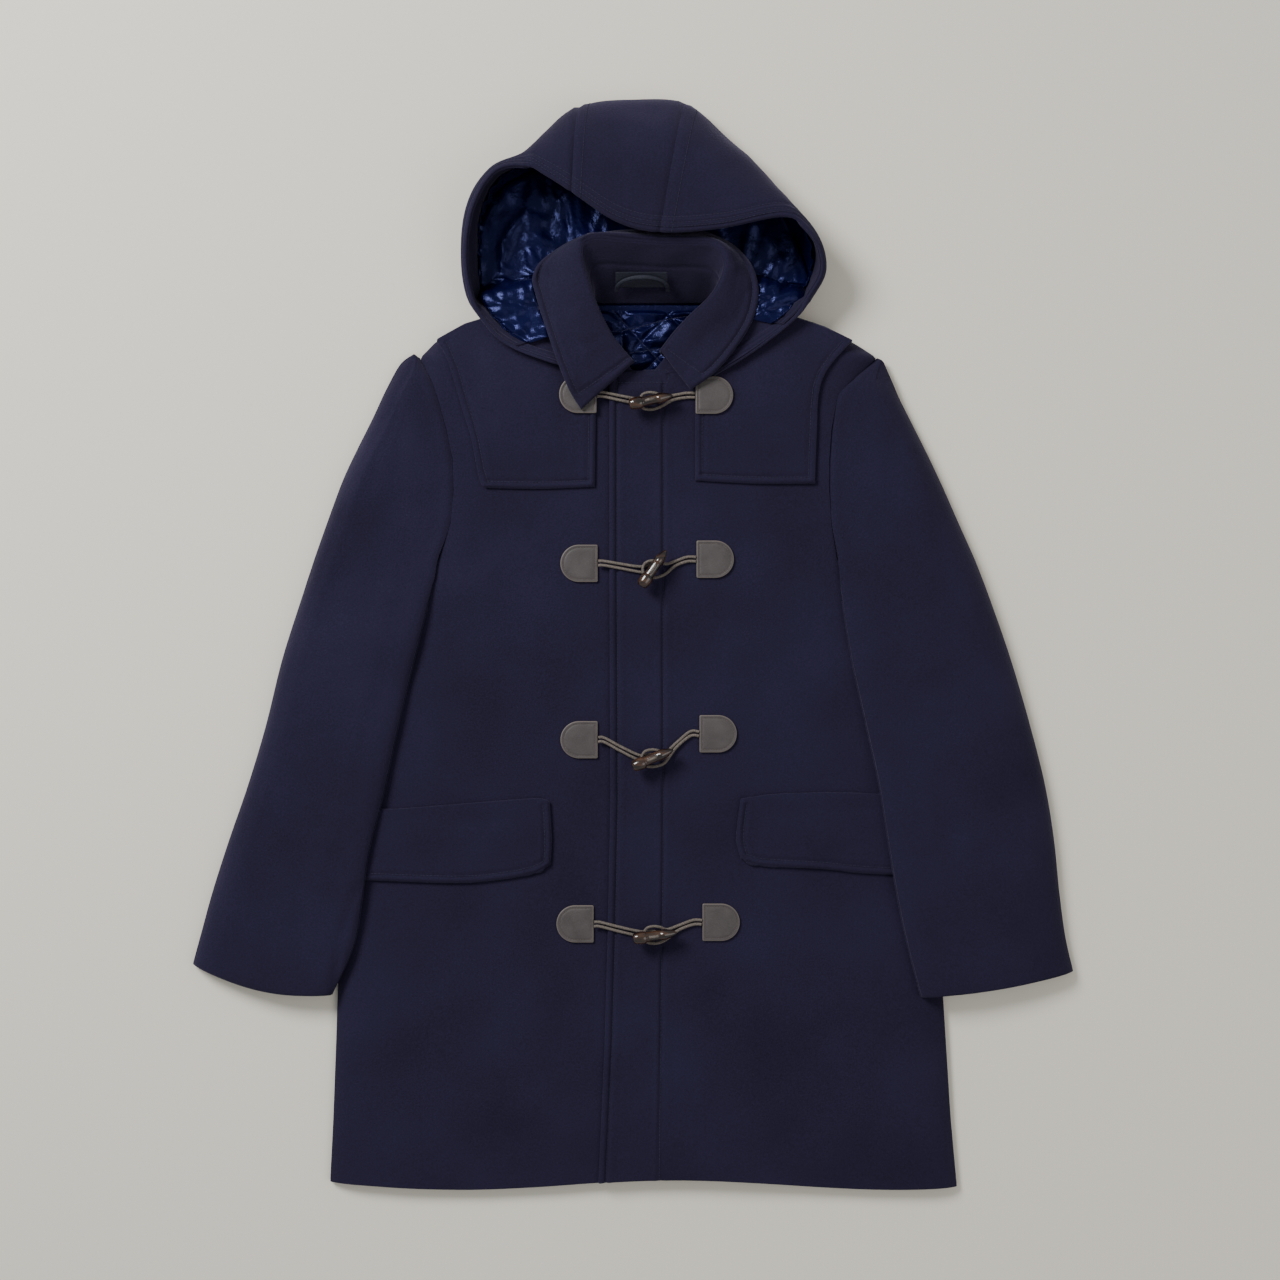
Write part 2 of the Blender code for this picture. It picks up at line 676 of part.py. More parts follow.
# opening edge x, y, z; outermost x, y; neck seam x, y
HOOD_RIBS = (
    (-50, 272, 33, -50, 272, -44, 281),
    (-84, 281, 35, -85, 281, -48, 300),
    (-123, 297, 35, -125, 297, -55, 318),
    (-147, 321, 38, -150, 321, -62, 332),
    (-161, 348, 43, -165, 347, -68, 345),
    (-165, 388, 50, -169, 388, -64, 353),
    (-157, 430, 60, -163, 433, -52, 352),
    (-136, 462, 66, -140, 468, -42, 345),
    (-108, 468, 68, -106, 486, -34, 345),
    (-84, 456, 67, -84, 507, -26, 345),
    (-60, 441, 65, -51, 534, -12, 345),
    (-16, 413, 60, -2, 542, 10, 345),
    (26, 403, 59, 52, 538, 42, 345),
    (84, 406, 60, 102, 495, 62, 345),
    (150, 417, 62, 144, 452, 80, 347),
    (178, 398, 60, 178, 406, 94, 350),
    (187, 368, 50, 190, 368, 104, 348),
    (173, 341, 42, 176, 340, 106, 340),
    (157, 321, 38, 159, 320, 100, 329),
    (119, 292, 35, 121, 291, 86, 312),
    (80, 268, 33, 81, 267, 68, 292),
)
RIB_STEPS = (0.0, 0.06, 0.15, 0.28, 0.44, 0.6, 0.76, 0.89, 1.0)
UNDER_STEPS = (0.22, 0.5, 0.78, 1.0)
LEFT_PANEL_END = 0.5
RIGHT_PANEL_END = 0.6


def hood_rib(rib, below):
    """Points of one rib: from the opening edge over the outside to the floor and the seam."""
    edge = Vector((rib[0], rib[1], rib[2]))
    outer = Vector((rib[3], rib[4], 0))
    seam = Vector((rib[5], rib[6], 0))
    away = (outer - seam).normalized()
    reach = (outer - Vector((edge.x, edge.y, 0))).length
    foot = outer - away * min(13.0, (outer - seam).length * 0.35)
    ground = top_of(below, foot.x, foot.y, 8.0, -GAP) + GAP
    height = edge.z - ground
    if reach > 25:
        first = edge.lerp(outer, 0.3)
        first.z = edge.z + min(14.0, reach * 0.16)
    else:
        first = edge + away * 4
        first.z = edge.z - height * 0.12
    wide = outer + away * max(4.0, reach * 0.06)
    wide.z = ground + height * 0.75
    foot.z = ground
    points = []
    for t in RIB_STEPS:
        s = 1 - t
        points.append(edge * s ** 3 + first * 3 * s * s * t + wide * 3 * s * t * t + foot * t ** 3)
    farthest = max((p - seam).dot(away) for p in points)
    excess = farthest - (outer - seam).dot(away)
    for k, t in enumerate(RIB_STEPS):
        points[k] = points[k] - away * excess * smooth(t * 1.6)
    foot = points[-1].copy()
    for t in UNDER_STEPS:
        spot = foot.lerp(seam, t)
        beside_neck = abs(spot.x - NECK_MIDDLE) > NECK_HALF_WIDTH
        around = 13.0 if spot.y < BACK_NECK or beside_neck else 1.5
        spot.z = top_of(below, spot.x, spot.y, around * 1.3, -GAP) + GAP
        points.append(spot)
    return points


def normals_of(grid):
    rows = len(grid)
    columns = len(grid[0])
    result = []
    for i in range(rows):
        line = []
        for j in range(columns):
            along_row = grid[i][min(j + 1, columns - 1)] - grid[i][max(j - 1, 0)]
            along_column = grid[min(i + 1, rows - 1)][j] - grid[max(i - 1, 0)][j]
            line.append(along_column.cross(along_row).normalized())
        result.append(line)
    return result


def moved(grid, normals, distance):
    return [[p + n * distance for p, n in zip(row, line)] for row, line in zip(grid, normals)]


HOOD_RIB_COUNT = 31
FACING_COLUMN = 3
FACING_END = 6
LINING_END = 7
UNDER_COUNT = 4
PANEL_GAP = 1.8
LINING_GAP = 2.9


def make_hood(carriers):
    """Three outer panels, the wool facing inside the opening and the satin lining."""
    below = trees(carriers)
    ribs = along(HOOD_RIBS, HOOD_RIB_COUNT)
    grid = [hood_rib(rib, below) for rib in ribs]
    out = normals_of(grid)
    a = round((HOOD_RIB_COUNT - 1) * LEFT_PANEL_END)
    b = round((HOOD_RIB_COUNT - 1) * RIGHT_PANEL_END)
    spans = (("hood_side_right", 0, a), ("hood_centre", a, b),
             ("hood_side_left", b, HOOD_RIB_COUNT - 1))
    things = []
    for name, first, last in spans:
        part = [list(row) for row in grid[first:last + 1]]
        if first > 0:
            part[0] = [p.lerp(q, PANEL_GAP / max((q - p).length, 1.5))
                       for p, q in zip(part[0], part[1])]
        things.append(sheet(name, part, WOOL, 1.0, WOOL_SHADE))
    inner = moved(grid, out, -(WOOL + LINING_GAP))
    facing = [row[1:FACING_COLUMN + 1] for row in inner[FACING_END:-FACING_END]]
    things.append(sheet("hood_facing", facing, 1.6, 1.0, WOOL_SHADE))
    lining = [list(row[FACING_COLUMN:]) for row in inner[LINING_END:-LINING_END]]
    panels = trees(things[:3])
    for row in lining:
        row[0] = row[0].lerp(row[1], 3.0 / max((row[1] - row[0]).length, 4.0))
        row[-1] = row[-1].lerp(row[-2], 0.3)
        for p in row[-UNDER_COUNT:]:
            rest = top_of(panels, p.x, p.y, 7.0, 0.0, p.z + 14) + LINING_GAP
            p.z = max(p.z, rest)
    things.append(sheet("hood_lining", lining, SATIN, 1.0, SATIN_SHADE))
    return things


# roll line x, y, z; outer edge x, y; foot of the stand x, y, z
COLLAR_SECTIONS = (
    (-1, 277, 33, -51, 233, -4, 276, 28),
    (-12, 289, 36, -62, 250, -14, 288, 28),
    (-23, 303, 39, -73, 276, -26, 304, 27),
    (-36, 328, 43, -85, 310, -41, 326, 24),
    (-46, 354, 46, -96, 346, -38, 341, 12),
    (-52, 379, 48, -99, 364, -32, 341, 7),
    (-50, 395, 49, -87, 384, -24, 341, 6),
    (-36, 401, 49, -56, 404, -16, 341, 6),
    (-10, 399, 48, -14, 413, -2, 341, 6),
    (30, 396, 47, 30, 413, 28, 341, 6),
    (60, 396, 48, 66, 413, 56, 341, 6),
    (82, 393, 49, 97, 400, 68, 341, 6),
    (92, 379, 48, 116, 378, 76, 342, 8),
    (90, 361, 46, 124, 350, 82, 344, 15),
    (78, 341, 43, 118, 320, 79, 337, 24),
    (58, 322, 40, 101, 292, 62, 318, 26),
    (42, 305, 37, 80, 268, 46, 302, 28),
    (29, 288, 33, 57, 252, 31, 285, 28),
)
COLLAR_COUNT = 26
COLLAR_CEILING = 44.0
LEAF_STEPS = (0.0, 0.08, 0.22, 0.42, 0.62, 0.82, 1.0)


def leaf_row(section, below):
    """From the roll line over and down to the leaf's outer edge."""
    rx, ry, rz, ex, ey = section[0], section[1], section[2], section[3], section[4]
    row = []
    for t in LEAF_STEPS:
        x = rx + (ex - rx) * t
        y = ry + (ey - ry) * t
        rest = top_of(below, x, y, 15.0, 8.0, COLLAR_CEILING) + 3 * GAP
        lift = (rz - rest) * (1 - smooth(t * 1.15)) if rz > rest else 0.0
        row.append(Vector((x, y, rest + lift)))
    return row


def make_collar(carriers):
    """One turned-down leaf from front end to front end, and the stand inside it."""
    below = trees(carriers)
    sections = along(COLLAR_SECTIONS, COLLAR_COUNT)
    leaf = [leaf_row(section, below) for section in sections]
    collar = sheet("collar_leaf", leaf, DOUBLE_WOOL, -1.0, WOOL_SHADE)
    stand = []
    for k, section in enumerate(sections):
        top = leaf[k][0].copy()
        foot = Vector((section[5], section[6], section[7]))
        run = leaf[min(k + 1, len(leaf) - 1)][0] - leaf[max(k - 1, 0)][0]
        inward = Vector((run.y, -run.x, 0)).normalized()
        top += inward * 3.4
        top.z -= 0.4
        stand.append([top.lerp(foot, t) + inward * 1.5 * math.sin(math.pi * t)
                      for t in (0.0, 0.35, 0.7, 1.0)])
    return [collar, sheet("collar_stand", stand, WOOL, 1.0, WOOL_SHADE)]


NECK_LINING = {
    "bottom": ((-120, 190), (25, 186), (160, 190)),
    "top": ((-30, 334), (25, 334), (74, 334)),
    "outer": ((-120, 190), (-112, 260), (-60, 312), (-30, 334)),
    "inner": ((160, 190), (150, 260), (106, 312), (74, 334)),
}
LOOP_SPAN = (-16, 35)
LOOP_FOOT = 350.0
PATCH_SIZE = (51.0, 15.0)


def make_neck_lining(carriers):
    plan = patch(NECK_LINING["bottom"], NECK_LINING["top"], NECK_LINING["outer"],
                 NECK_LINING["inner"], 8, 6)
    return laid("neck_lining", plan, carriers, QUILT, SATIN_SHADE, 0.0)


def on_stand(name, plan, stand, thickness, material):
    """A small piece laid on the sloping inner face of the stand."""
    below = trees([stand])
    grid = [[(x, y, top_of(below, x, y, 3.0, 6.0) + GAP) for x, y in row] for row in plan]
    return sheet(name, grid, thickness, 1.0, material)


def make_patch(stand):
    x0, y0 = LOOP_SPAN[0] - 1, 353.0
    plan = [[(x0 + PATCH_SIZE[0] * j / 6, y0 + PATCH_SIZE[1] * i / 2) for j in range(7)]
            for i in range(3)]
    return on_stand("neck_patch", plan, stand, 0.5, TAPE_SHADE)


def make_hanger_loop(stand, neck_patch):
    """A flat tape arched between its two sewn ends."""
    below = trees([stand, neck_patch])
    left, right = LOOP_SPAN
    half = 2.2
    rows = []
    for k in range(13):
        t = k / 12
        angle = math.pi * t
        x = (left + right) / 2 - (right - left) / 2 * math.cos(angle)
        y = LOOP_FOOT + 12.5 * math.sin(angle) ** 0.8
        across = Vector((-math.cos(angle), math.sin(angle) * 0.6)).normalized()
        spots = [Vector((x, y)) + across * half * s for s in (-1, 0, 1)]
        level = max(top_of(below, p.x, p.y, 1.5) for p in spots) + GAP
        rows.append([(p.x, p.y, level + 1.5 * math.sin(angle)) for p in spots])
    return sheet("hanger_loop", rows, 1.2, -1.0, WOOL_SHADE)


def main():
    back = make_back()
    front_right = make_front("front_right", -1)
    front_left = make_front("front_left", 1)
    fronts = [front_right, front_left]
    flap_right = make_flap("flap_right", FLAP_RIGHT, front_right, -1)
    flap_left = make_flap("flap_left", FLAP_LEFT, front_left, 1)
    yoke_right = make_yoke("yoke_right", YOKE_RIGHT, front_right, -1)
    yoke_left = make_yoke("yoke_left", YOKE_LEFT, front_left, 1)

    under_right = make_sleeve_under("sleeve_right_under", SLEEVE_RIGHT, UNDER_TOP_RIGHT,
                                    [back, front_right, flap_right], -1)
    under_left = make_sleeve_under("sleeve_left_under", SLEEVE_LEFT, UNDER_TOP_LEFT,
                                   [back, front_left, flap_left], 1)
    make_sleeve_top("sleeve_right_top", SLEEVE_RIGHT, [front_right, flap_right, under_right], -1)
    make_sleeve_top("sleeve_left_top", SLEEVE_LEFT, [front_left, flap_left, under_left], 1)

    cloth = fronts + [yoke_right, yoke_left]
    trims = []
    for k, fastening in enumerate(FASTENINGS):
        number = str(k + 1)
        right_x, right_y, left_x, left_y, x, y, turn = fastening
        trims.append(make_tab("tab_" + number + "_right", right_x, right_y, -1, cloth))
        trims.append(make_tab("tab_" + number + "_left", left_x, left_y, 1, cloth))
        level = make_toggle("toggle_" + number, x, y, turn, [front_left])
        holder = holding_cord("cord_" + number + "_right", fastening, level)
        loop = loop_cord("cord_" + number + "_left", fastening, level)
        if k == 0:
            top_fastening = [trims[0], trims[1], holder, loop]

    hood = make_hood([back] + cloth)
    make_neck_lining([back])
    bpy.context.view_layer.update()
    leaf, stand = make_collar([back] + cloth + top_fastening + hood)
    neck_patch = make_patch(stand)
    make_hanger_loop(stand, neck_patch)


main()
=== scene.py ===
# Looks of a hooded duffle coat lying flat: felted wool, quilted satin, leather, cord and horn.
# Tables are in millimetres, +Y towards the hood and +X towards the wearer's left sleeve.
import math

import bmesh
import bpy
import numpy as np
from mathutils import Matrix, Vector, noise
from mathutils.bvhtree import BVHTree


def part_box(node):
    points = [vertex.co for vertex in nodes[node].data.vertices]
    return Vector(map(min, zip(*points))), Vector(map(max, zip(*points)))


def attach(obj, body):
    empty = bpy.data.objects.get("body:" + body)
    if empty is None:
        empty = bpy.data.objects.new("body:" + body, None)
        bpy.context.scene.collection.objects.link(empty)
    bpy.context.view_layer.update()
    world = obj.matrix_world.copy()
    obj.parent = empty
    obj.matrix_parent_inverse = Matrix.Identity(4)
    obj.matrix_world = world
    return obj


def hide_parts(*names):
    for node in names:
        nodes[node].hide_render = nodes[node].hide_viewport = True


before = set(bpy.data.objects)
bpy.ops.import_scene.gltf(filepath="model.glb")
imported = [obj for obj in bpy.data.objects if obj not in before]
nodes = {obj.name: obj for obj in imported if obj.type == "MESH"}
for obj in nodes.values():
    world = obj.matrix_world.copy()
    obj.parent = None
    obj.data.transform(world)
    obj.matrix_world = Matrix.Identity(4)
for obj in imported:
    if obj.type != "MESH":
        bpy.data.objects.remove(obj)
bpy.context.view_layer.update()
mm = 0.001
gap = 0.3
wool = 2.6
down = Vector((0, 0, -1))


# Shader maths: sums and products of sockets, and one method for every other node
class Term:
    def __init__(self, tree, socket):
        self.tree = tree
        self.socket = socket

    def put(self, node, key, value):
        value = value.socket if isinstance(value, Term) else value
        if isinstance(value, bpy.types.NodeSocket):
            self.tree.links.new(value, node.inputs[key])
        else:
            node.inputs[key].default_value = value

    def make(self, kind, out=0, settings=None, inputs=None):
        node = self.tree.nodes.new("ShaderNode" + kind)
        for key, value in (settings or {}).items():
            setattr(node, key, value)
        for key, value in (inputs or {}).items():
            self.put(node, key, value)
        return Term(self.tree, node.outputs[out])

    def maths(self, operation, other=0.0, third=0.0):
        return self.make("Math", 0, {"operation": operation}, {0: self, 1: other, 2: third})

    def __add__(self, other):
        return self.maths("ADD", other)

    def __sub__(self, other):
        return self.maths("SUBTRACT", other)

    def __mul__(self, other):
        return self.maths("MULTIPLY", other)

    def between(self, low, high):
        return self.make("MapRange", 0, {}, {"Value": self, "From Min": low, "From Max": high})

    def noise(self, scale, detail=2.0, stretch=(1, 1, 1)):
        spots = self.make("Mapping", 0, {}, {"Vector": self, "Scale": stretch})
        return spots.make("TexNoise", 0, {}, {"Vector": spots, "Scale": scale, "Detail": detail})

    def blend(self, low, high):
        mix = self.tree.nodes.new("ShaderNodeMix")
        mix.data_type = "RGBA"
        self.put(mix, 0, self)
        mix.inputs[6].default_value = (*low, 1.0)
        mix.inputs[7].default_value = (*high, 1.0)
        return Term(self.tree, mix.outputs[2])


def newMaterial(name, roughness, constants=None):
    material = bpy.data.materials.new(name)
    material.use_nodes = True
    tree = material.node_tree
    shader = tree.nodes["Principled BSDF"]
    shader.inputs["Roughness"].default_value = roughness
    for key, value in (constants or {}).items():
        shader.inputs[key].default_value = value
    place = Term(tree, tree.nodes.new("ShaderNodeTexCoord").outputs["Object"])
    return material, place, shader


def bumped(place, shader, height, distance, strength):
    bump = place.make("Bump", 0, {}, {"Height": height, "Distance": distance,
                                      "Strength": strength})
    place.put(shader, "Normal", bump)


def woolMaterial(name, dark, light):
    material, place, shader = newMaterial(name, 0.95, {
        "Sheen Weight": 0.22, "Sheen Roughness": 0.45, "Sheen Tint": (0.46, 0.41, 0.62, 1),
        "Specular IOR Level": 0.18})
    nap = place.noise(620, 3.0)
    fibre = place.noise(1500, 2.0, (1.0, 0.28, 1.0))
    wear = place.noise(9, 3.0)
    tone = nap * 0.45 + fibre * 0.3 + wear * 0.45
    place.put(shader, "Base Color", tone.between(0.38, 0.82).blend(dark, light))
    bumped(place, shader, nap * 0.6 + fibre * 0.4, 0.0011, 0.75)
    return material


def satinMaterial():
    material, place, shader = newMaterial("quilted_satin", 0.27, {
        "Anisotropic": 0.5, "Specular IOR Level": 0.42})
    shader.inputs["Specular Tint"].default_value = (0.34, 0.38, 1.0, 1)
    wear = place.noise(30, 2.0)
    place.put(shader, "Base Color", wear.between(0.3, 0.7).blend((0.001, 0.0012, 0.013),
                                                                 (0.003, 0.0032, 0.030)))
    thread = place.noise(1600, 1.0, (1.0, 0.2, 1.0))
    bumped(place, shader, place.noise(210, 2.0) * 0.8 + thread * 0.25, 0.0012, 0.5)
    return material


def leatherMaterial(name, dark, light, edge):
    material, place, shader = newMaterial(name, 0.5, {"Specular IOR Level": 0.4})
    pores = place.noise(900, 3.0)
    wear = place.noise(60, 3.0)
    base = (pores * 0.4 + wear * 0.6).between(0.3, 0.7).blend(dark, light)
    border = Term(place.tree, place.tree.nodes.new("ShaderNodeAttribute").outputs["Fac"])
    border.socket.node.attribute_name = "inset"
    mix = place.tree.nodes.new("ShaderNodeMix")
    mix.data_type = "RGBA"
    place.put(mix, 0, border.between(1.1, 0.5))
    place.put(mix, 6, base)
    mix.inputs[7].default_value = (*edge, 1)
    place.put(shader, "Base Color", mix.outputs[2])
    place.put(shader, "Roughness", wear.between(0.2, 0.8) * 0.2 + 0.4)
    bumped(place, shader, pores, 0.0004, 0.5)
    return material


def cordMaterial(name, dark, light, roughness=0.8):
    material, place, shader = newMaterial(name, roughness, {"Specular IOR Level": 0.3})
    strands = place.noise(1100, 2.0)
    place.put(shader, "Base Color", strands.between(0.35, 0.65).blend(dark, light))
    bumped(place, shader, strands, 0.0005, 0.6)
    return material


def hornMaterial():
    material, place, shader = newMaterial("dark_horn", 0.16, {
        "Specular IOR Level": 0.6, "Coat Weight": 0.6, "Coat Roughness": 0.08})
    streaks = place.noise(160, 4.0, (0.35, 1.6, 1.0))
    place.put(shader, "Base Color", streaks.between(0.42, 0.66).blend((0.010, 0.004, 0.002),
                                                                      (0.075, 0.032, 0.014)))
    bumped(place, shader, streaks, 0.0003, 0.25)
    return material


navy = woolMaterial("navy_wool", (0.0076, 0.0054, 0.0168), (0.0200, 0.0155, 0.043))
# A darker copy of the same navy wool: painted shade for the hood facing and the collar stand, which lie
# in shade inside the hood and under the collar leaf
navyShadedCopy = woolMaterial("navy_wool_painted_shade", (0.0070, 0.0052, 0.0155), (0.0182, 0.0142, 0.038))
satin = satinMaterial()
leather = leatherMaterial("leather", (0.052, 0.043, 0.042), (0.086, 0.071, 0.069),
                          (0.15, 0.12, 0.105))
cordLook = cordMaterial("cord", (0.085, 0.066, 0.056), (0.2, 0.165, 0.14))
threadLook = cordMaterial("thread", (0.016, 0.014, 0.032), (0.04, 0.037, 0.075))
leatherThread = cordMaterial("leather_thread", (0.09, 0.07, 0.06), (0.16, 0.13, 0.11))
tapeLook = cordMaterial("tape", (0.008, 0.008, 0.016), (0.02, 0.02, 0.034), 0.7)
horn = hornMaterial()
print("materials ready")


# Curves and heights
def along(points, count):
    p = np.array(points, float)
    p = np.vstack([p[:1], p, p[-1:]])
    spans = len(points) - 1
    place = np.linspace(0, spans, count)
    k = np.minimum(place.astype(int), spans - 1)
    t = (place - k)[:, None]
    a, b, c, d = p[k], p[k + 1], p[k + 2], p[k + 3]
    return 0.5 * (2 * b + (c - a) * t + (2 * a - 5 * b + 4 * c - d) * t ** 2
                  + (3 * b - a - 3 * c + d) * t ** 3)


def smooth(t):
    t = np.clip(t, 0.0, 1.0)
    return t * t * (3 - 2 * t)


def treesOf(*names):
    result = []
    for name in names:
        mesh = nodes[name].data
        spots = [v.co / mm for v in mesh.vertices]
        result.append(BVHTree.FromPolygons(spots, [tuple(p.vertices) for p in mesh.polygons]))
    return result


def topOf(trees, x, y, reach=0.0, ground=0.0, ceiling=300.0):
    steps = (0.0,) if reach == 0 else (-reach, -reach / 2, 0.0, reach / 2, reach)
    best = ground
    for dx in steps:
        for dy in steps:
            start = Vector((x + dx, y + dy, ceiling))
            for tree in trees:
                hit = tree.ray_cast(start, down)[0]
                if hit is not None:
                    best = max(best, hit.z)
    return best


# Heights of a solid's upper or lower face over a plan, with gaps filled from the same row
def heights(name, plan, under=False):
    tree = treesOf(name)[0]
    z = np.full(plan.shape[:2], np.nan)
    for i, row in enumerate(plan):
        for j, (x, y) in enumerate(row):
            start = Vector((x, y, -50 if under else 300))
            hit = tree.ray_cast(start, -down if under else down)[0]
            if hit is not None:
                z[i, j] = hit.z
    spots = np.arange(z.shape[1])
    filled = [i for i in range(len(z)) if np.isfinite(z[i]).sum() > 1]
    for i in filled:
        good = np.isfinite(z[i])
        z[i] = np.interp(spots, spots[good], z[i][good])
    for i in range(len(z)):
        if i not in filled:
            z[i] = z[min(filled, key=lambda k: abs(k - i))]
    return z


def blurred(z, rows, columns):
    for axis, times in ((0, rows), (1, columns)):
        for _ in range(times):
            z = np.moveaxis(z, axis, 0)
            z = z * 0.5 + 0.25 * (np.vstack([z[:1], z[:-1]]) + np.vstack([z[1:], z[-1:]]))
            z = np.moveaxis(z, 0, axis)
    return z


# Places across a width: close together at both edges, even between
def spread(width, first, last, count):
    first = np.array(first, float)
    last = np.array(last, float)
    whole = first[-1] + last[-1]
    scale = min(1.0, 0.8 * width / whole)
    first = first * scale
    last = last * scale
    middle = np.linspace(first[-1], width - last[-1], count + 2)[1:-1]
    return np.concatenate([first, middle, (width - last)[::-1]])


def patch(bottom, top, left, right, across, up):
    low = along(bottom, 200)
    high = along(top, 200)
    near = along(left, 200)
    far = along(right, 200)

    def at(path, t):
        k = np.linspace(0, 1, len(path))
        return np.stack([np.interp(t, k, path[:, 0]), np.interp(t, k, path[:, 1])], -1)

    u, v = across[None, :, None], up[:, None, None]
    corners = ((low[0] * (1 - u) + low[-1] * u) * (1 - v)
               + (high[0] * (1 - u) + high[-1] * u) * v)
    return (at(low, across)[None] * (1 - v) + at(high, across)[None] * v
            + at(near, up)[:, None] * (1 - u) + at(far, up)[:, None] * u - corners)


def distanceTo(path, x, y):
    best = np.full(np.shape(x), 1e9)
    for (ax, ay), (bx, by) in zip(path[:-1], path[1:]):
        dx, dy = bx - ax, by - ay
        t = np.clip(((x - ax) * dx + (y - ay) * dy) / (dx * dx + dy * dy + 1e-9), 0, 1)
        best = np.minimum(best, np.hypot(x - ax - dx * t, y - ay - dy * t))
    return best


# A closed outline moved inwards by a distance
def insetLoop(points, distance):
    p = np.array(points, float)
    area = np.sum(p[:, 0] * np.roll(p[:, 1], -1) - np.roll(p[:, 0], -1) * p[:, 1])
    side = 1.0 if area > 0 else -1.0
    result = []
    for k in range(len(p)):
        a = p[k] - p[k - 1]
        b = p[(k + 1) % len(p)] - p[k]
        a = a / (np.linalg.norm(a) + 1e-9)
        b = b / (np.linalg.norm(b) + 1e-9)
        n = side * np.array([-a[1] - b[1], a[0] + b[0]])
        n = n / (np.linalg.norm(n) + 1e-9)
        turn = max(0.45, float(n @ (side * np.array([-a[1], a[0]]))))
        result.append(p[k] + n * distance / turn)
    return np.array(result)


def lumps(grid, size, seed):
    flat = grid.reshape(-1, grid.shape[-1])
    z = flat[:, 2] if flat.shape[1] > 2 else np.zeros(len(flat))
    values = [noise.noise(Vector((x / size + seed, y / size - seed, h / size)))
              for (x, y), h in zip(flat[:, :2], z)]
    return np.array(values).reshape(grid.shape[:2])


# Soft creases: start x and y, end x and y, half width, height (troughs below zero)
bodyCreases = (
    (-262, -20, -150, 30, 20, -1.5), (-256, -75, -170, -20, 16, 1.1),
    (-180, 60, -118, 128, 18, -1.3), (-160, -60, -140, 80, 24, 1.0),
    (-228, -330, -120, -420, 30, -1.6), (-90, -300, -105, -500, 26, 1.3),
    (-210, -450, -95, -505, 22, -1.4), (-250, -380, -235, -520, 20, 1.2),
    (285, -10, 175, 45, 20, -1.5), (278, -66, 190, -8, 17, 1.2),
    (196, 60, 132, 130, 20, -1.4), (150, -50, 128, 90, 22, 1.0),
    (235, -330, 120, -440, 32, -1.7), (110, -300, 140, -500, 26, 1.3),
    (250, -430, 170, -515, 24, 1.3), (90, -330, 84, -470, 18, -1.0),
    (-140, 40, -98, -70, 22, -1.0), (120, 20, 112, -120, 20, 0.9),
)
sleeveCreases = (
    (255, 259, 278, 192, 9, 2.0), (278, 192, 300, 90, 12, 1.3), (270, 240, 262, 120, 14, -1.5),
    (330, 60, 255, 20, 18, -1.7), (345, 20, 262, -40, 15, 1.4), (240, 60, 290, -60, 13, -1.3),
    (395, -150, 300, -190, 22, -1.4), (400, -220, 340, -330, 18, 1.2),
    (300, -120, 318, -320, 14, -1.4), (380, -60, 330, -110, 16, 1.1),
    (-252, 236, -286, 130, 13, 1.5), (-232, 248, -240, 120, 12, -1.5),
    (-300, 70, -232, 12, 18, -1.7), (-330, 30, -250, -50, 15, 1.4), (-215, 60, -262, -70, 13, -1.2),
    (-372, -120, -290, -170, 20, -1.4), (-400, -210, -372, -320, 18, 1.2),
    (-268, -236, -289, -288, 5, -1.6), (-289, -288, -300, -344, 5, -1.8),
    (-340, -150, -318, -330, 15, -1.1),
)
fastenings = ((-36, 248, 62, 247, 17, 241, 12), (-35, 81, 63, 85, 20, 75, 55),
              (-35, -94, 66, -88, 19, -112, 23), (-39, -277, 69, -275, 21, -287, 8))


def creased(creases, x, y):
    total = np.zeros(np.shape(x))
    for k, (ax, ay, bx, by, half, high) in enumerate(creases):
        dx, dy = bx - ax, by - ay
        run = math.hypot(dx, dy)
        t = ((x - ax) * dx + (y - ay) * dy) / run ** 2
        aside = ((x - ax) * dy - (y - ay) * dx) / run
        aside = aside + half * 0.45 * np.sin(3.1 * t + k * 1.7)
        ends = smooth(t * 3.2 + 0.35) * smooth((1 - t) * 3.2 + 0.35)
        uneven = 1 + 0.35 * np.sin(7.3 * t + k * 2.3)
        total += high * uneven * ends * np.exp(-(aside / half) ** 2)
    return total


# Near a fastening the cloth stays as the solids have it
def calm(x, y):
    share = np.ones(np.shape(x))
    for rx, ry, lx, ly, tx, ty, _ in fastenings:
        d = distanceTo([(rx - 22, ry), (tx, ty), (lx + 22, ly)], x, y)
        share = np.minimum(share, smooth((d - 20) / 26))
    return share


def bodyRelief(grid):
    x, y = grid[..., 0], grid[..., 1]
    soft = lumps(grid, 95, 3.1) * 1.5 + lumps(grid, 34, 8.4) * 0.5
    return (creased(bodyCreases, x, y) + soft) * calm(x, y)


# A topstitched line sinks between two soft swellings
def stitched(paths, x, y, deep=1.1):
    total = np.zeros(np.shape(x))
    for path in paths:
        d = distanceTo(path, x, y)
        total += -deep * np.exp(-(d / 1.3) ** 2) + deep * 0.35 * np.exp(-((d - 4.2) / 2.2) ** 2)
    return total


# Meshes
def normalsOf(grid, up=None):
    across = np.gradient(grid, axis=1)
    ahead = np.gradient(grid, axis=0)
    n = np.cross(ahead, across)
    n = n / (np.linalg.norm(n, axis=-1, keepdims=True) + 1e-9)
    if up is not None and (n[..., 2].mean() > 0) != up:
        n = -n
    return n


def boundaryOf(rows, columns):
    loop = [(0, j) for j in range(columns)]
    loop += [(i, columns - 1) for i in range(1, rows)]
    loop += [(rows - 1, j) for j in range(columns - 2, -1, -1)]
    loop += [(i, 0) for i in range(rows - 2, 0, -1)]
    return loop


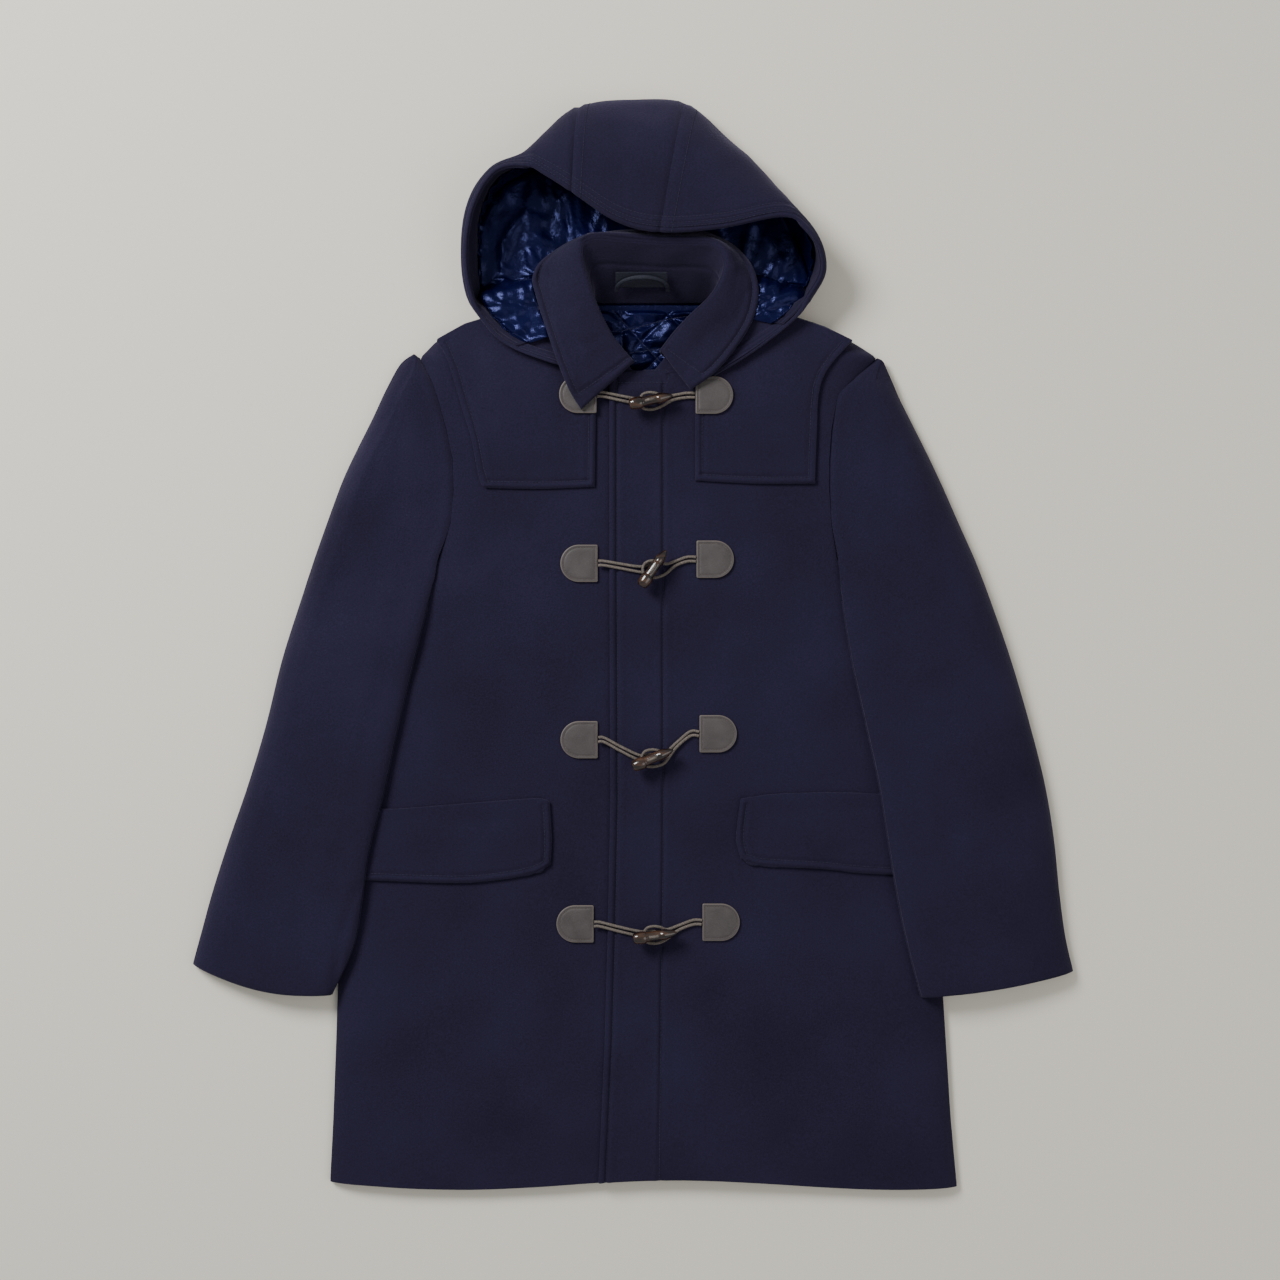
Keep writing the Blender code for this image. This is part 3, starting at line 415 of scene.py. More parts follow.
def linkMesh(name, vertices, faces, materials, marks=None, smoothly=True):
    mesh = bpy.data.meshes.new(name)
    mesh.from_pydata((np.array(vertices) * mm).tolist(), [], faces)
    for material in materials:
        mesh.materials.append(material)
    if marks is not None:
        mesh.polygons.foreach_set("material_index", marks)
    if smoothly:
        mesh.shade_smooth()
    thing = bpy.data.objects.new(name, mesh)
    bpy.context.scene.collection.objects.link(thing)
    return thing


# Cloth of a real thickness on a grid of its outer face, with rounded raw edges
def cloth(name, grid, normals, thickness, outer, inner=None):
    rows, columns = grid.shape[:2]
    back = grid - normals * thickness
    loop = boundaryOf(rows, columns)
    count = rows * columns
    vertices = [*grid.reshape(-1, 3), *back.reshape(-1, 3)]
    rings = []
    for angle in (45, 90, 135):
        ring = []
        for i, j in loop:
            near = (min(max(i, 1), rows - 2), min(max(j, 1), columns - 2))
            away = grid[i, j] - grid[near]
            n = normals[i, j]
            away = away - n * (away @ n)
            away = away / (np.linalg.norm(away) + 1e-9)
            middle = (grid[i, j] + back[i, j]) / 2
            ring.append(len(vertices))
            vertices.append(middle + n * thickness / 2 * math.cos(math.radians(angle))
                            + away * thickness * 0.28 * math.sin(math.radians(angle)))
        rings.append(ring)
    faces = []
    for i in range(rows - 1):
        for j in range(columns - 1):
            k = i * columns + j
            faces.append((k, k + 1, k + columns + 1, k + columns))
    backs = [tuple(reversed([k + count for k in face])) for face in faces]
    first = [i * columns + j for i, j in loop]
    stack = [first] + rings + [[k + count for k in first]]
    rims = []
    for a, b in zip(stack, stack[1:]):
        for k in range(len(loop)):
            m = (k + 1) % len(loop)
            rims.append((a[m], a[k], b[k], b[m]))
    edge = 9
    deep = [1 if inner and edge < k // (columns - 1) and edge < k % (columns - 1) < columns - edge
            else 0 for k in range(len(backs))]
    marks = [0] * len(faces) + deep + [0] * len(rims)
    vertices = np.array(vertices)
    vertices[:, 2] = np.maximum(vertices[:, 2], 0.0)
    thing = linkMesh(name, vertices, faces + backs + rims, [outer] + ([inner] if inner else []),
                     marks)
    shape = bmesh.new()
    shape.from_mesh(thing.data)
    bmesh.ops.remove_doubles(shape, verts=shape.verts, dist=0.01 * mm)
    bmesh.ops.recalc_face_normals(shape, faces=shape.faces)
    shape.to_mesh(thing.data)
    shape.free()
    return thing


def settle(thing, slot, *replaced):
    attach(thing, "root")
    if replaced:
        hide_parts(*replaced)
    return thing


def areaOf(grid):
    a = grid[1:, 1:] - grid[:-1, :-1]
    b = grid[1:, :-1] - grid[:-1, 1:]
    return float(np.linalg.norm(np.cross(a, b), axis=-1).sum()) / 2 * mm * mm


# Stitch lines are kept as three-dimensional paths and sewn together at the end
seams = {"thread": [], "leather_thread": []}


def sew(name, path, lift=0.25):
    tree = finished[name]
    spots = []
    for x, y in path:
        hit, normal, _, _ = tree.ray_cast(Vector((x, y, 300)) * mm, down)
        if hit is not None:
            spots.append(hit + normal * lift * mm)
    if len(spots) > 1:
        seams["thread"].append(spots)


finished = {}


def keepSurface(thing):
    mesh = thing.data
    finished[thing.name] = BVHTree.FromPolygons([v.co.copy() for v in mesh.vertices],
                                                [tuple(p.vertices) for p in mesh.polygons])


# Body: outline tables shared by the fronts and the back
sideRight = ((-537, -302), (-475, -299), (-395, -296), (-300, -293), (-205, -290), (-110, -285),
             (-20, -277), (35, -270), (47, -236), (65, -211), (85, -193), (121, -181),
             (153, -178), (185, -179), (214, -185), (246, -194), (264, -201), (286, -212),
             (303, -196), (319, -167), (330, -130), (338, -90))
sideLeft = ((-537, 323), (-475, 317), (-395, 312), (-300, 306), (-205, 300), (-110, 293),
            (-20, 287), (35, 282), (47, 246), (65, 216), (85, 203), (121, 197), (153, 195),
            (185, 195), (214, 197), (246, 203), (264, 219), (286, 243), (300, 222), (316, 190),
            (329, 150), (338, 115))
neckRight = ((272, -1), (283, -10), (295, -21), (310, -33), (325, -42), (338, -49))
neckLeft = ((272, 22), (283, 31), (295, 40), (310, 54), (325, 70), (338, 82))
lapEdge = ((-537, -34), (-400, -28), (-300, -25), (-155, -22), (85, -23), (272, -23))


def read(table, y):
    keys, values = zip(*table)
    return np.interp(y, keys, values)


def hemDrop(x, y):
    wave = -536.5 - 5.0 * np.cos(2 * np.pi * (x + 170) / 432)
    return (wave + 537) * smooth((-475 - y) / 62)


def frontPiece(name, side):
    setting = {"rowPitch": 4.0, "roll": (0, 0.5, 1.4, 2.8, 4.6, 7, 10, 14, 19),
               "edge": (0, 0.8, 2, 3.4, 5, 6.2, 7, 7.8, 9, 11, 14, 18, 24, 30, 36, 42, 46,
                        *np.arange(48.5, 56, 1), 57.5, 61), "middle": 50}
    ys = np.concatenate([np.array([-537, -536.2, -535, -533, -530.5]),
                         np.arange(-527, 337.5, setting["rowPitch"]), [338]])
    rows = []
    for y in ys:
        outer = float(read(sideRight if side < 0 else sideLeft, y))
        if side < 0:
            inner = 28.0 if y <= 272 else float(read(neckRight, y))
        else:
            inner = float(read(lapEdge, y)) if y <= 272 else float(read(neckLeft, y))
        steps = spread(abs(inner - outer), setting["roll"], setting["edge"], setting["middle"])
        x = outer - side * steps
        rows.append(np.stack([x, y + hemDrop(x, y)], -1))
    plan = np.array(rows)
    inside = plan + (plan.mean(1, keepdims=True) - plan) * 0.002
    inside[0, :, 1] += 0.6
    z = blurred(heights(name, inside), 30, 2)
    grid = np.concatenate([plan, z[..., None]], -1)
    x, y = plan[..., 0], plan[..., 1]
    paths = []
    if side > 0:
        paths.append([(float(read(lapEdge, v)) + 7, v) for v in np.arange(-535, 272, 20)])
        paths.append([(26, -537), (28, -355), (30, -200), (30, 258)])
        paths.append([(-14, 260), (35, 260), (35, 272), (-14, 272)])
    relief = bodyRelief(grid) * smooth(np.abs(x - plan[:, :1, 0]) / 16)
    z = z + relief + stitched(paths[2:], x, y) + stitched(paths[:2], x, y, 2.0)
    if side > 0:
        lap = read(lapEdge, y)
        z = z + 0.5 * np.exp(-((x - lap - 2.6) / 2.4) ** 2) * (y < 272)
    else:
        z = z - 0.6 * smooth((x + 30) / 12)
    grid = np.concatenate([plan, z[..., None]], -1)
    closed = 1 - smooth((plan[:, :1, 1] - 36) / 14) + smooth((plan[:, :1, 1] - 286) / 8)
    tucks = []
    for share in (1.0, 0.55):
        tuck = grid[:, :1].copy()
        low = 3.2 * closed + (tuck[..., 2] - 0.9) * (1 - closed)
        tuck[..., 2] = tuck[..., 2] * (1 - share) + low * share
        tucks.append(tuck)
    grid = np.concatenate(tucks + [grid], 1)
    thing = cloth(name + "_wool", grid, normalsOf(grid, True), wool, navy, satin)
    keepSurface(thing)
    settle(thing, "wool", name)
    for path in paths:
        sew(thing.name, denser(path))
    flat = areaOf(grid)
    return thing


def denser(path, step=2.0):
    p = np.array(path, float)
    run = np.concatenate([[0], np.cumsum(np.hypot(*np.diff(p, axis=0).T))])
    t = np.arange(0, run[-1], step)
    return list(zip(np.interp(t, run, p[:, 0]), np.interp(t, run, p[:, 1])))


def backPiece():
    armRight = ((35, -270), (62, -248), (105, -226), (165, -212), (230, -208), (287, -212))
    armLeft = ((35, 282), (62, 262), (105, 242), (165, 231), (230, 231), (287, 243))
    ys = np.concatenate([[-537, -535, -532], np.arange(-527, 342, 6), [343]])
    rows = []
    for y in ys:
        right = float(read(armRight if 35 < y < 286 else sideRight[:8] if y <= 35
                           else ((287, -212), (303, -196), (319, -167), (330, -130), (338, -90),
                                 (343, -50)), y))
        left = float(read(armLeft if 35 < y < 286 else sideLeft[:8] if y <= 35
                          else ((287, 243), (300, 222), (316, 190), (329, 150), (338, 115),
                                (343, 82)), y))
        x = right + spread(left - right, (0, 1, 3, 6, 12), (0, 1, 3, 6, 12), 92)
        rows.append(np.stack([x, y + hemDrop(x, y)], -1))
    plan = np.array(rows)
    x, y = plan[..., 0], plan[..., 1]
    base = np.concatenate([plan, np.zeros(plan.shape[:2] + (1,))], -1)
    vent = [(12, -537), (12, -330)]
    rise = np.clip(-creased(bodyCreases, x, y) * 0.5, 0, 0.8)
    rise += np.clip(lumps(base, 90, 12.7), 0, 1) * 0.5 - np.minimum(stitched([vent], x, y, 0.5), 0)
    grid = np.concatenate([plan, rise[..., None]], -1)
    thing = cloth("back_wool", grid, normalsOf(grid, False), wool - 0.3, navy, satin)
    keepSurface(thing)
    settle(thing, "wool", "back")
    min(areaOf(grid), 0.63 * 0.885)
    return thing


backPiece()
frontPiece("front_right", -1)
frontPiece("front_left", 1)
print("body ready")


# Panels sewn on the fronts
def panel(name, outline, across, up, thickness, stitchSides, creases, wrap=None, flat=None,
          extra=None):
    plan = patch(outline["bottom"], outline["top"], outline["outer"], outline["inner"],
                 across, up)
    inside = plan + (plan.mean((0, 1)) - plan) * 0.004
    z = blurred(heights(name, inside), 6, 6)
    x, y = plan[..., 0], plan[..., 1]
    grid = np.concatenate([plan, z[..., None]], -1)
    loop = ([tuple(p) for p in along(outline["bottom"], 9)]
            + [tuple(p) for p in along(outline["inner"], 9)[1:]]
            + [tuple(p) for p in along(outline["top"], 9)[::-1][1:]]
            + [tuple(p) for p in along(outline["outer"], 9)[::-1][1:-1]])
    moved = insetLoop(loop, 6.5)
    edges = {"bottom": moved[0:9], "inner": moved[8:17], "top": moved[16:25],
             "outer": np.vstack([moved[24:], moved[:1]])}
    paths = [[tuple(p) for p in edges[key]] for key in stitchSides]
    z = z + bodyRelief(grid) + stitched(paths, x, y, 1.3) + creased(creases, x, y)
    rim = distanceTo([tuple(p) for p in loop[:17]] if not extra else extra, x, y)
    z = z + 0.7 * np.exp(-((rim - 3.0) / 2.2) ** 2) - 0.6 * np.exp(-(rim / 1.0) ** 2)
    grid = np.concatenate([plan, z[..., None]], -1)
    if wrap:
        ends = []
        for share, level in ((0.4, 0.93), (0.8, 0.7), (1.0, 0.4), (1.0, 0.12)):
            row = grid[-1:].copy()
            edge = np.interp(row[..., 0], *zip(*sorted(wrap))) + 1.2
            row[..., 1] += (edge - row[..., 1]) * share
            row[..., 2] *= level
            ends.append(row)
        grid = np.concatenate([grid] + ends, 0)
    thing = cloth(name + "_wool", grid, normalsOf(grid, True), thickness, navy)
    keepSurface(thing)
    settle(thing, "wool", name)
    for path in paths:
        sew(thing.name, denser(path))
    min(areaOf(grid), flat[0] * flat[1])
    return thing


edgeSteps = np.array([0, 0.6, 1.5, 3, 4.6, 5.8, 6.5, 7.2, 8.4, 11])


def shares(width, middle):
    places = spread(width, edgeSteps, edgeSteps, middle)
    return places / width


shoulderRight = ((-50, 343), (-90, 338), (-130, 330), (-167, 319), (-196, 303), (-212, 287))
shoulderLeft = ((82, 343), (115, 338), (150, 329), (190, 316), (222, 300), (243, 287))
yokeRight = {
    "bottom": ((-146, 156), (-92, 155), (-38, 157)),
    "top": ((-194, 302), (-167, 317), (-130, 328), (-92, 336), (-55, 340)),
    "outer": ((-146, 156), (-152, 165), (-160, 205), (-170, 238), (-183, 282), (-194, 302)),
    "inner": ((-38, 157), (-37, 234), (-37, 300), (-45, 325), (-55, 340))}
yokeLeft = {
    "bottom": ((180, 160), (120, 160), (62, 163)),
    "top": ((217, 302), (190, 314), (150, 327), (118, 335), (88, 340)),
    "outer": ((180, 160), (181, 190), (182, 213), (184, 250), (193, 274), (217, 302)),
    "inner": ((62, 163), (62, 234), (63, 298), (74, 322), (88, 340))}
yokeCreases = ((-150, 300, -120, 210, 12, 1.1), (-70, 285, -60, 200, 10, -0.9),
               (100, 310, 130, 215, 12, -1.1), (170, 280, 150, 200, 13, 1.0))
flapRight = {
    "bottom": ((-266, -233), (-178, -236), (-135, -233), (-97, -226), (-82, -217)),
    "top": ((-262, -161), (-238, -163), (-167, -158), (-97, -153), (-83, -156)),
    "outer": ((-266, -233), (-262, -161)),
    "inner": ((-82, -217), (-81, -190), (-83, -156))}
flapLeft = {
    "bottom": ((268, -228), (226, -226), (188, -222), (124, -218), (107, -211)),
    "top": ((262, -150), (243, -148), (167, -147), (125, -150), (107, -153)),
    "outer": ((268, -228), (262, -150)),
    "inner": ((107, -211), (103, -190), (107, -153))}
flapCreases = ((-250, -200, -110, -190, 16, 1.0), (-240, -176, -120, -170, 7, -0.9),
               (250, -195, 130, -185, 16, 1.0), (245, -164, 130, -163, 7, -0.9))
panel("yoke_right", yokeRight, shares(115, 30), shares(165, 44), wool,
      ("bottom", "inner", "outer"), yokeCreases, shoulderRight, (0.155, 0.195))
panel("yoke_left", yokeLeft, shares(120, 30), shares(165, 44), wool,
      ("bottom", "inner", "outer"), yokeCreases, shoulderLeft, (0.16, 0.195))
panel("flap_right", flapRight, shares(180, 44), shares(72, 16), 3.4,
      ("bottom", "inner"), flapCreases, None, (0.19, 0.085))
panel("flap_left", flapLeft, shares(160, 40), shares(74, 16), 3.4,
      ("bottom", "inner"), flapCreases, None, (0.168, 0.085))
print("yokes and flaps ready")


# Sleeves: outer x and y, inner x and y, cuff bow
sleeveRight = (
    (-219, 290, -212, 286, 0), (-232, 280, -201, 264, 0), (-246, 255, -194, 246, 0),
    (-260, 225, -185, 214, 0), (-275, 195, -179, 185, 0), (-289, 165, -178, 153, 0),
    (-301, 133, -181, 121, 0), (-318, 85, -193, 85, 0), (-324, 65, -196, 68, 0),
    (-331, 45, -201, 50, 0), (-350, -15, -217, -15, 0), (-366, -80, -234, -85, 0),
    (-384, -140, -248, -150, 1), (-403, -195, -262, -205, 3), (-419, -245, -269, -255, 6),
    (-430, -285, -278, -300, 9), (-439, -318, -299, -347, 10))
sleeveLeft = (
    (250, 282, 243, 286, 0), (258, 263, 219, 264, 0), (266, 245, 203, 246, 0),
    (281, 215, 197, 214, 0), (296, 185, 195, 185, 0), (310, 155, 195, 153, 0),
    (324, 123, 197, 121, 0), (341, 85, 203, 85, 0), (349, 64, 205, 66, 0),
    (357, 43, 207, 47, 0), (377, -15, 217, -15, 0), (396, -80, 231, -78, 0),
    (411, -140, 244, -138, 0), (420, -195, 253, -195, 0), (425, -245, 262, -248, 2),
    (431, -290, 272, -295, 3), (439, -325, 286, -349, 4))
underRight = (
    (-246, 255, -207, 250, 0), (-260, 225, -205, 222, 0), (-275, 195, -207, 190, 0),
    (-289, 165, -209, 162, 0), (-301, 133, -216, 132, 0), (-318, 85, -232, 88, 0),
    (-327, 58, -247, 61, 0), (-333, 38, -271, 39, 0), (-337, 26, -204, 34, 0))
underLeft = (
    (258, 263, 238, 266, 0), (266, 245, 229, 248, 0), (281, 215, 228, 218, 0),
    (296, 185, 228, 188, 0), (310, 155, 229, 158, 0), (324, 123, 235, 125, 0),
    (341, 85, 247, 86, 0), (351, 60, 260, 62, 0), (358, 40, 283, 39, 0),
    (363, 26, 210, 34, 0))


def sleeveTop(name, table, side, carriers):
    lines = along(table, 190)
    rows = []
    for ox, oy, ix, iy, bow in lines:
        ix = ix + side * gap * 1.4
        width = math.hypot(ix - ox, iy - oy)
        u = spread(width, (0, 0.5, 1.4, 2.8, 5, 8, 12, 17), (0, 0.5, 1.4, 2.6, 4.4, 7, 10, 14),
                   34) / width
        rows.append(np.stack([ox + (ix - ox) * u,
                              oy + (iy - oy) * u - bow * np.sin(np.pi * u)], -1))
    plan = np.array(rows)
    inside = plan + (plan.mean(1, keepdims=True) - plan) * 0.004
    z = blurred(heights(name, inside), 22, 2)
    x, y = plan[..., 0], plan[..., 1]
    grid = np.concatenate([plan, z[..., None]], -1)
    fromFold = np.hypot(x - plan[:, :1, 0], y - plan[:, :1, 1])
    soft = lumps(grid, 85, 5.7) * 1.6 + lumps(grid, 30, 2.2) * 0.5
    z = z + (creased(sleeveCreases, x, y) + soft) * smooth(fromFold / 18)
    fromInner = np.hypot(x - plan[:, -1:, 0], y - plan[:, -1:, 1])
    armhole = smooth((plan[:, :1, 1] - 60) / 30)
    swell = 0.9 * np.exp(-((fromInner - 6) / 5) ** 2)
    z = z + armhole * (swell - 0.8 * np.exp(-(fromInner / 2) ** 2))
    z[-3:] -= np.array([0.1, 0.35, 0.8])[:, None]
    grid = np.concatenate([plan, z[..., None]], -1)
    below = treesOf(*carriers)
    foldLow = np.array([topOf(below[-1:], a, b, 4.0, 2.6) + 0.6 for a, b in plan[:, 0]])
    seamLow = np.array([topOf(below, a, b, 12.0, 2.6) + 0.6 for a, b in plan[:, -1]])
    seamLow = np.where(plan[:, -1, 1] > 58, z[:, -1] - 0.9, np.minimum(seamLow, z[:, -1] - 1.2))
    foldLow = blurred(foldLow[:, None], 12, 0)[:, 0]
    seamLow = blurred(seamLow[:, None], 8, 0)[:, 0]
    firsts, lasts = [], []
    for share in (1.0, 0.55):
        tuck = grid[:, :1].copy()
        tuck[:, 0, 2] = tuck[:, 0, 2] * (1 - share) + np.minimum(foldLow, tuck[:, 0, 2]) * share
        firsts.append(tuck)
    for share in (0.55, 1.0):
        tuck = grid[:, -1:].copy()
        tuck[:, 0, 2] = tuck[:, 0, 2] * (1 - share) + seamLow * share
        lasts.append(tuck)
    grid = np.concatenate(firsts + [grid] + lasts, 1)
    thing = cloth(name + "_wool", grid, normalsOf(grid, True), wool, navy, satin)
    keepSurface(thing)
    settle(thing, "wool", name)
    flat = (0.19, 0.69)
    min(areaOf(grid), flat[0] * flat[1])


def sleeveUnder(name, top, table):
    lower = along(table[9:], 110)
    upper = along(top, 60)
    lines = np.vstack([upper, lower[1:]])
    rows = []
    for ox, oy, ix, iy, bow in lines:
        u = np.linspace(0, 1, 36)
        sag = bow * np.sin(np.pi * u)
        rows.append(np.stack([ox + (ix - ox) * u, oy + (iy - oy) * u - sag], -1))
    plan = np.array(rows)
    inside = plan + (plan.mean(1, keepdims=True) - plan) * 0.004
    z = heights(name, inside, True)
    grid = np.concatenate([plan, z[..., None]], -1)
    x, y = plan[..., 0], plan[..., 1]
    z = z + np.clip(-creased(sleeveCreases, x, y) * 0.4, 0, 0.7) * (z < 3)
    grid = np.concatenate([plan, z[..., None]], -1)
    thing = cloth(name + "_wool", grid, normalsOf(grid, False), wool - 0.3, navy, satin)
    settle(thing, "wool", name)
    flat = (0.18, 0.66)
    min(areaOf(grid), flat[0] * flat[1])


sleeveUnder("sleeve_right_under", underRight, sleeveRight)
sleeveUnder("sleeve_left_under", underLeft, sleeveLeft)
sleeveTop("sleeve_right_top", sleeveRight, -1, ("front_right", "flap_right", "sleeve_right_under"))
sleeveTop("sleeve_left_top", sleeveLeft, 1, ("front_left", "flap_left", "sleeve_left_under"))
print("sleeves ready")


# Hood: opening edge x, y, z, outermost x and y, neck seam x and y
hoodRibs = (
    (-50, 272, 33, -50, 272, -44, 281), (-84, 281, 35, -85, 281, -48, 300),
    (-123, 297, 35, -125, 297, -55, 318), (-147, 321, 38, -150, 321, -62, 332),
    (-161, 348, 43, -165, 347, -68, 345), (-165, 388, 50, -169, 388, -64, 353),
    (-157, 430, 60, -163, 433, -52, 352), (-136, 462, 66, -140, 468, -42, 345),
    (-108, 468, 68, -106, 486, -34, 345), (-84, 456, 67, -84, 507, -26, 345),
    (-60, 441, 65, -51, 534, -12, 345), (-16, 413, 60, -2, 542, 10, 345),
    (26, 403, 59, 52, 538, 42, 345), (84, 406, 60, 102, 495, 62, 345),
    (150, 417, 62, 144, 452, 80, 347), (178, 398, 60, 178, 406, 94, 350),
    (187, 368, 50, 190, 368, 104, 348), (173, 341, 42, 176, 340, 106, 340),
    (157, 321, 38, 159, 320, 100, 329), (119, 292, 35, 121, 291, 86, 312),
    (80, 268, 33, 81, 267, 68, 292))


def hoodGrid(count):
    below = treesOf("back", "front_right", "front_left", "yoke_right", "yoke_left")
    ribs = along(hoodRibs, count)
    edge = ribs[:, :3]
    outer = np.concatenate([ribs[:, 3:5], np.zeros((count, 1))], 1)
    seam = np.concatenate([ribs[:, 5:7], np.zeros((count, 1))], 1)
    run = np.linalg.norm(outer - seam, axis=1, keepdims=True)
    away = (outer - seam) / run
    reach = np.linalg.norm((outer - edge)[:, :2], axis=1, keepdims=True)
    foot = outer - away * np.minimum(13.0, run * 0.35)
    ground = np.array([topOf(below, x, y, 8.0, -gap) + gap for x, y, _ in foot])[:, None]
    ground = blurred(ground, 3, 0)
    height = edge[:, 2:] - ground
    broad = edge + (outer - edge) * 0.3
    broad[:, 2:] = edge[:, 2:] + np.minimum(14.0, reach * 0.16)
    narrow = edge + away * 4
    narrow[:, 2:] = edge[:, 2:] - height * 0.12
    part = smooth((reach - 18) / 14)
    first = narrow * (1 - part) + broad * part
    wide = outer + away * np.maximum(4.0, reach * 0.06)
    wide[:, 2:] = ground + height * 0.75
    foot[:, 2:] = ground
    t = np.linspace(0, 1, 61)[None, :, None]
    s = 1 - t
    ribsOver = (edge[:, None] * s ** 3 + first[:, None] * 3 * s * s * t
                + wide[:, None] * 3 * s * t * t + foot[:, None] * t ** 3)
    beyond = ((ribsOver - seam[:, None]) * away[:, None]).sum(-1).max(1)
    excess = (beyond - run[:, 0])[:, None, None]
    ribsOver = ribsOver - away[:, None] * excess * smooth(t * 1.6)
    lip = (0, 0.9, 2, 3.3, 4.6, 5.9, 7.2, 8.5, 9.8, 11.1, 12.4, 13.8, 15.5, 18, 21)
    grid, arcs = [], []
    for k in range(count):
        points = ribsOver[k]
        steps = np.linalg.norm(np.diff(points, axis=0), axis=1)
        far = np.concatenate([[0], np.cumsum(steps)])
        places = spread(far[-1], lip, (0, 3), 34)
        over = np.stack([np.interp(places, far, points[:, c]) for c in range(3)], -1)
        under = []
        for u in np.linspace(0, 1, 15)[1:]:
            x, y, _ = over[-1] * (1 - u) + seam[k] * u
            beside = abs(x - 26) > 76
            around = 13.0 if y < 343 or beside else 1.5
            under.append((x, y, topOf(below, x, y, around * 1.3, -gap) + gap))
        grid.append(np.vstack([over, under]))
        arcs.append(np.concatenate([places, np.full(14, 1e3)]))
    grid = np.array(grid)
    grid[:, -14:, 2:] = blurred(grid[:, -14:, 2], 2, 1)[..., None]
    return grid, np.array(arcs)


def hoodPieces():
    count = 181
    grid, arcs = hoodGrid(count)
    out = normalsOf(grid)
    splits = [round((count - 1) * 0.5), round((count - 1) * 0.6)]
    share = np.linspace(0, 1, count)[:, None]
    free = smooth(share / 0.12) * smooth((1 - share) / 0.12)
    shown = smooth((grid[..., 2] - 8) / 14)
    relief = (lumps(grid, 62, 4.4) * 3.2 + lumps(grid, 25, 9.1) * 1.1) * smooth((arcs - 6) / 24)
    folds = ((0.40, 0.62, 0.045, -3.0), (0.47, 0.5, 0.03, 2.4), (0.60, 0.7, 0.02, 1.6),
             (0.72, 0.55, 0.035, -3.2), (0.77, 0.5, 0.03, 2.6), (0.30, 0.6, 0.05, 2.4),
             (0.84, 0.6, 0.04, -2.2))
    reach = np.clip(arcs / np.minimum(arcs.max(1, keepdims=True, where=arcs < 1e3, initial=0), 999),
                    0, 1)
    for place, middle, half, high in folds:
        aside = (share - place - 0.03 * (reach - middle)) / half
        relief += high * np.exp(-aside ** 2) * np.exp(-((reach - middle) / 0.33) ** 2)
    relief *= shown * free
    wave = 0.5 * np.cos(2 * np.pi * (arcs - 2.3) / 4.7) * (arcs < 15.2) * smooth((15.5 - arcs) / 3)
    relief += wave - 0.7 * np.exp(-((arcs - 15.5) / 1.3) ** 2)
    for k in splits:
        d = np.linalg.norm(grid - grid[k:k + 1], axis=-1)
        relief += shown * (-1.0 * np.exp(-(d / 1.5) ** 2) + 0.7 * np.exp(-((d - 4.5) / 2.6) ** 2))
    skin = grid + out * relief[..., None]
    skin[..., 2] = np.maximum(skin[..., 2], 0.05)
    spans = (("hood_side_right", 0, splits[0], (0.31, 0.3)), ("hood_centre", *splits, (0.17, 0.36)),
             ("hood_side_left", splits[1], count - 1, (0.25, 0.3)))
    for name, first, last, flat in spans:
        part = skin[first:last + 1]
        thing = cloth(name + "_wool", part, out[first:last + 1], wool, navy)
        keepSurface(thing)
        settle(thing, "wool", name)
        max(min(areaOf(part), flat[0] * flat[1]), 0.3 * flat[0] * flat[1])
        for column in (5, 8, 12):
            seams["thread"].append([Vector(p * mm) for p in
                                    (part[:, column] + out[first:last + 1, column] * 0.2)])
        if first > 0:
            line = part[2, 2:-16] + out[first + 2, 2:-16] * 0.25
            seams["thread"].append([Vector(p * mm) for p in line])
    lineHood(skin, grid, out, arcs, share[:, 0], count)


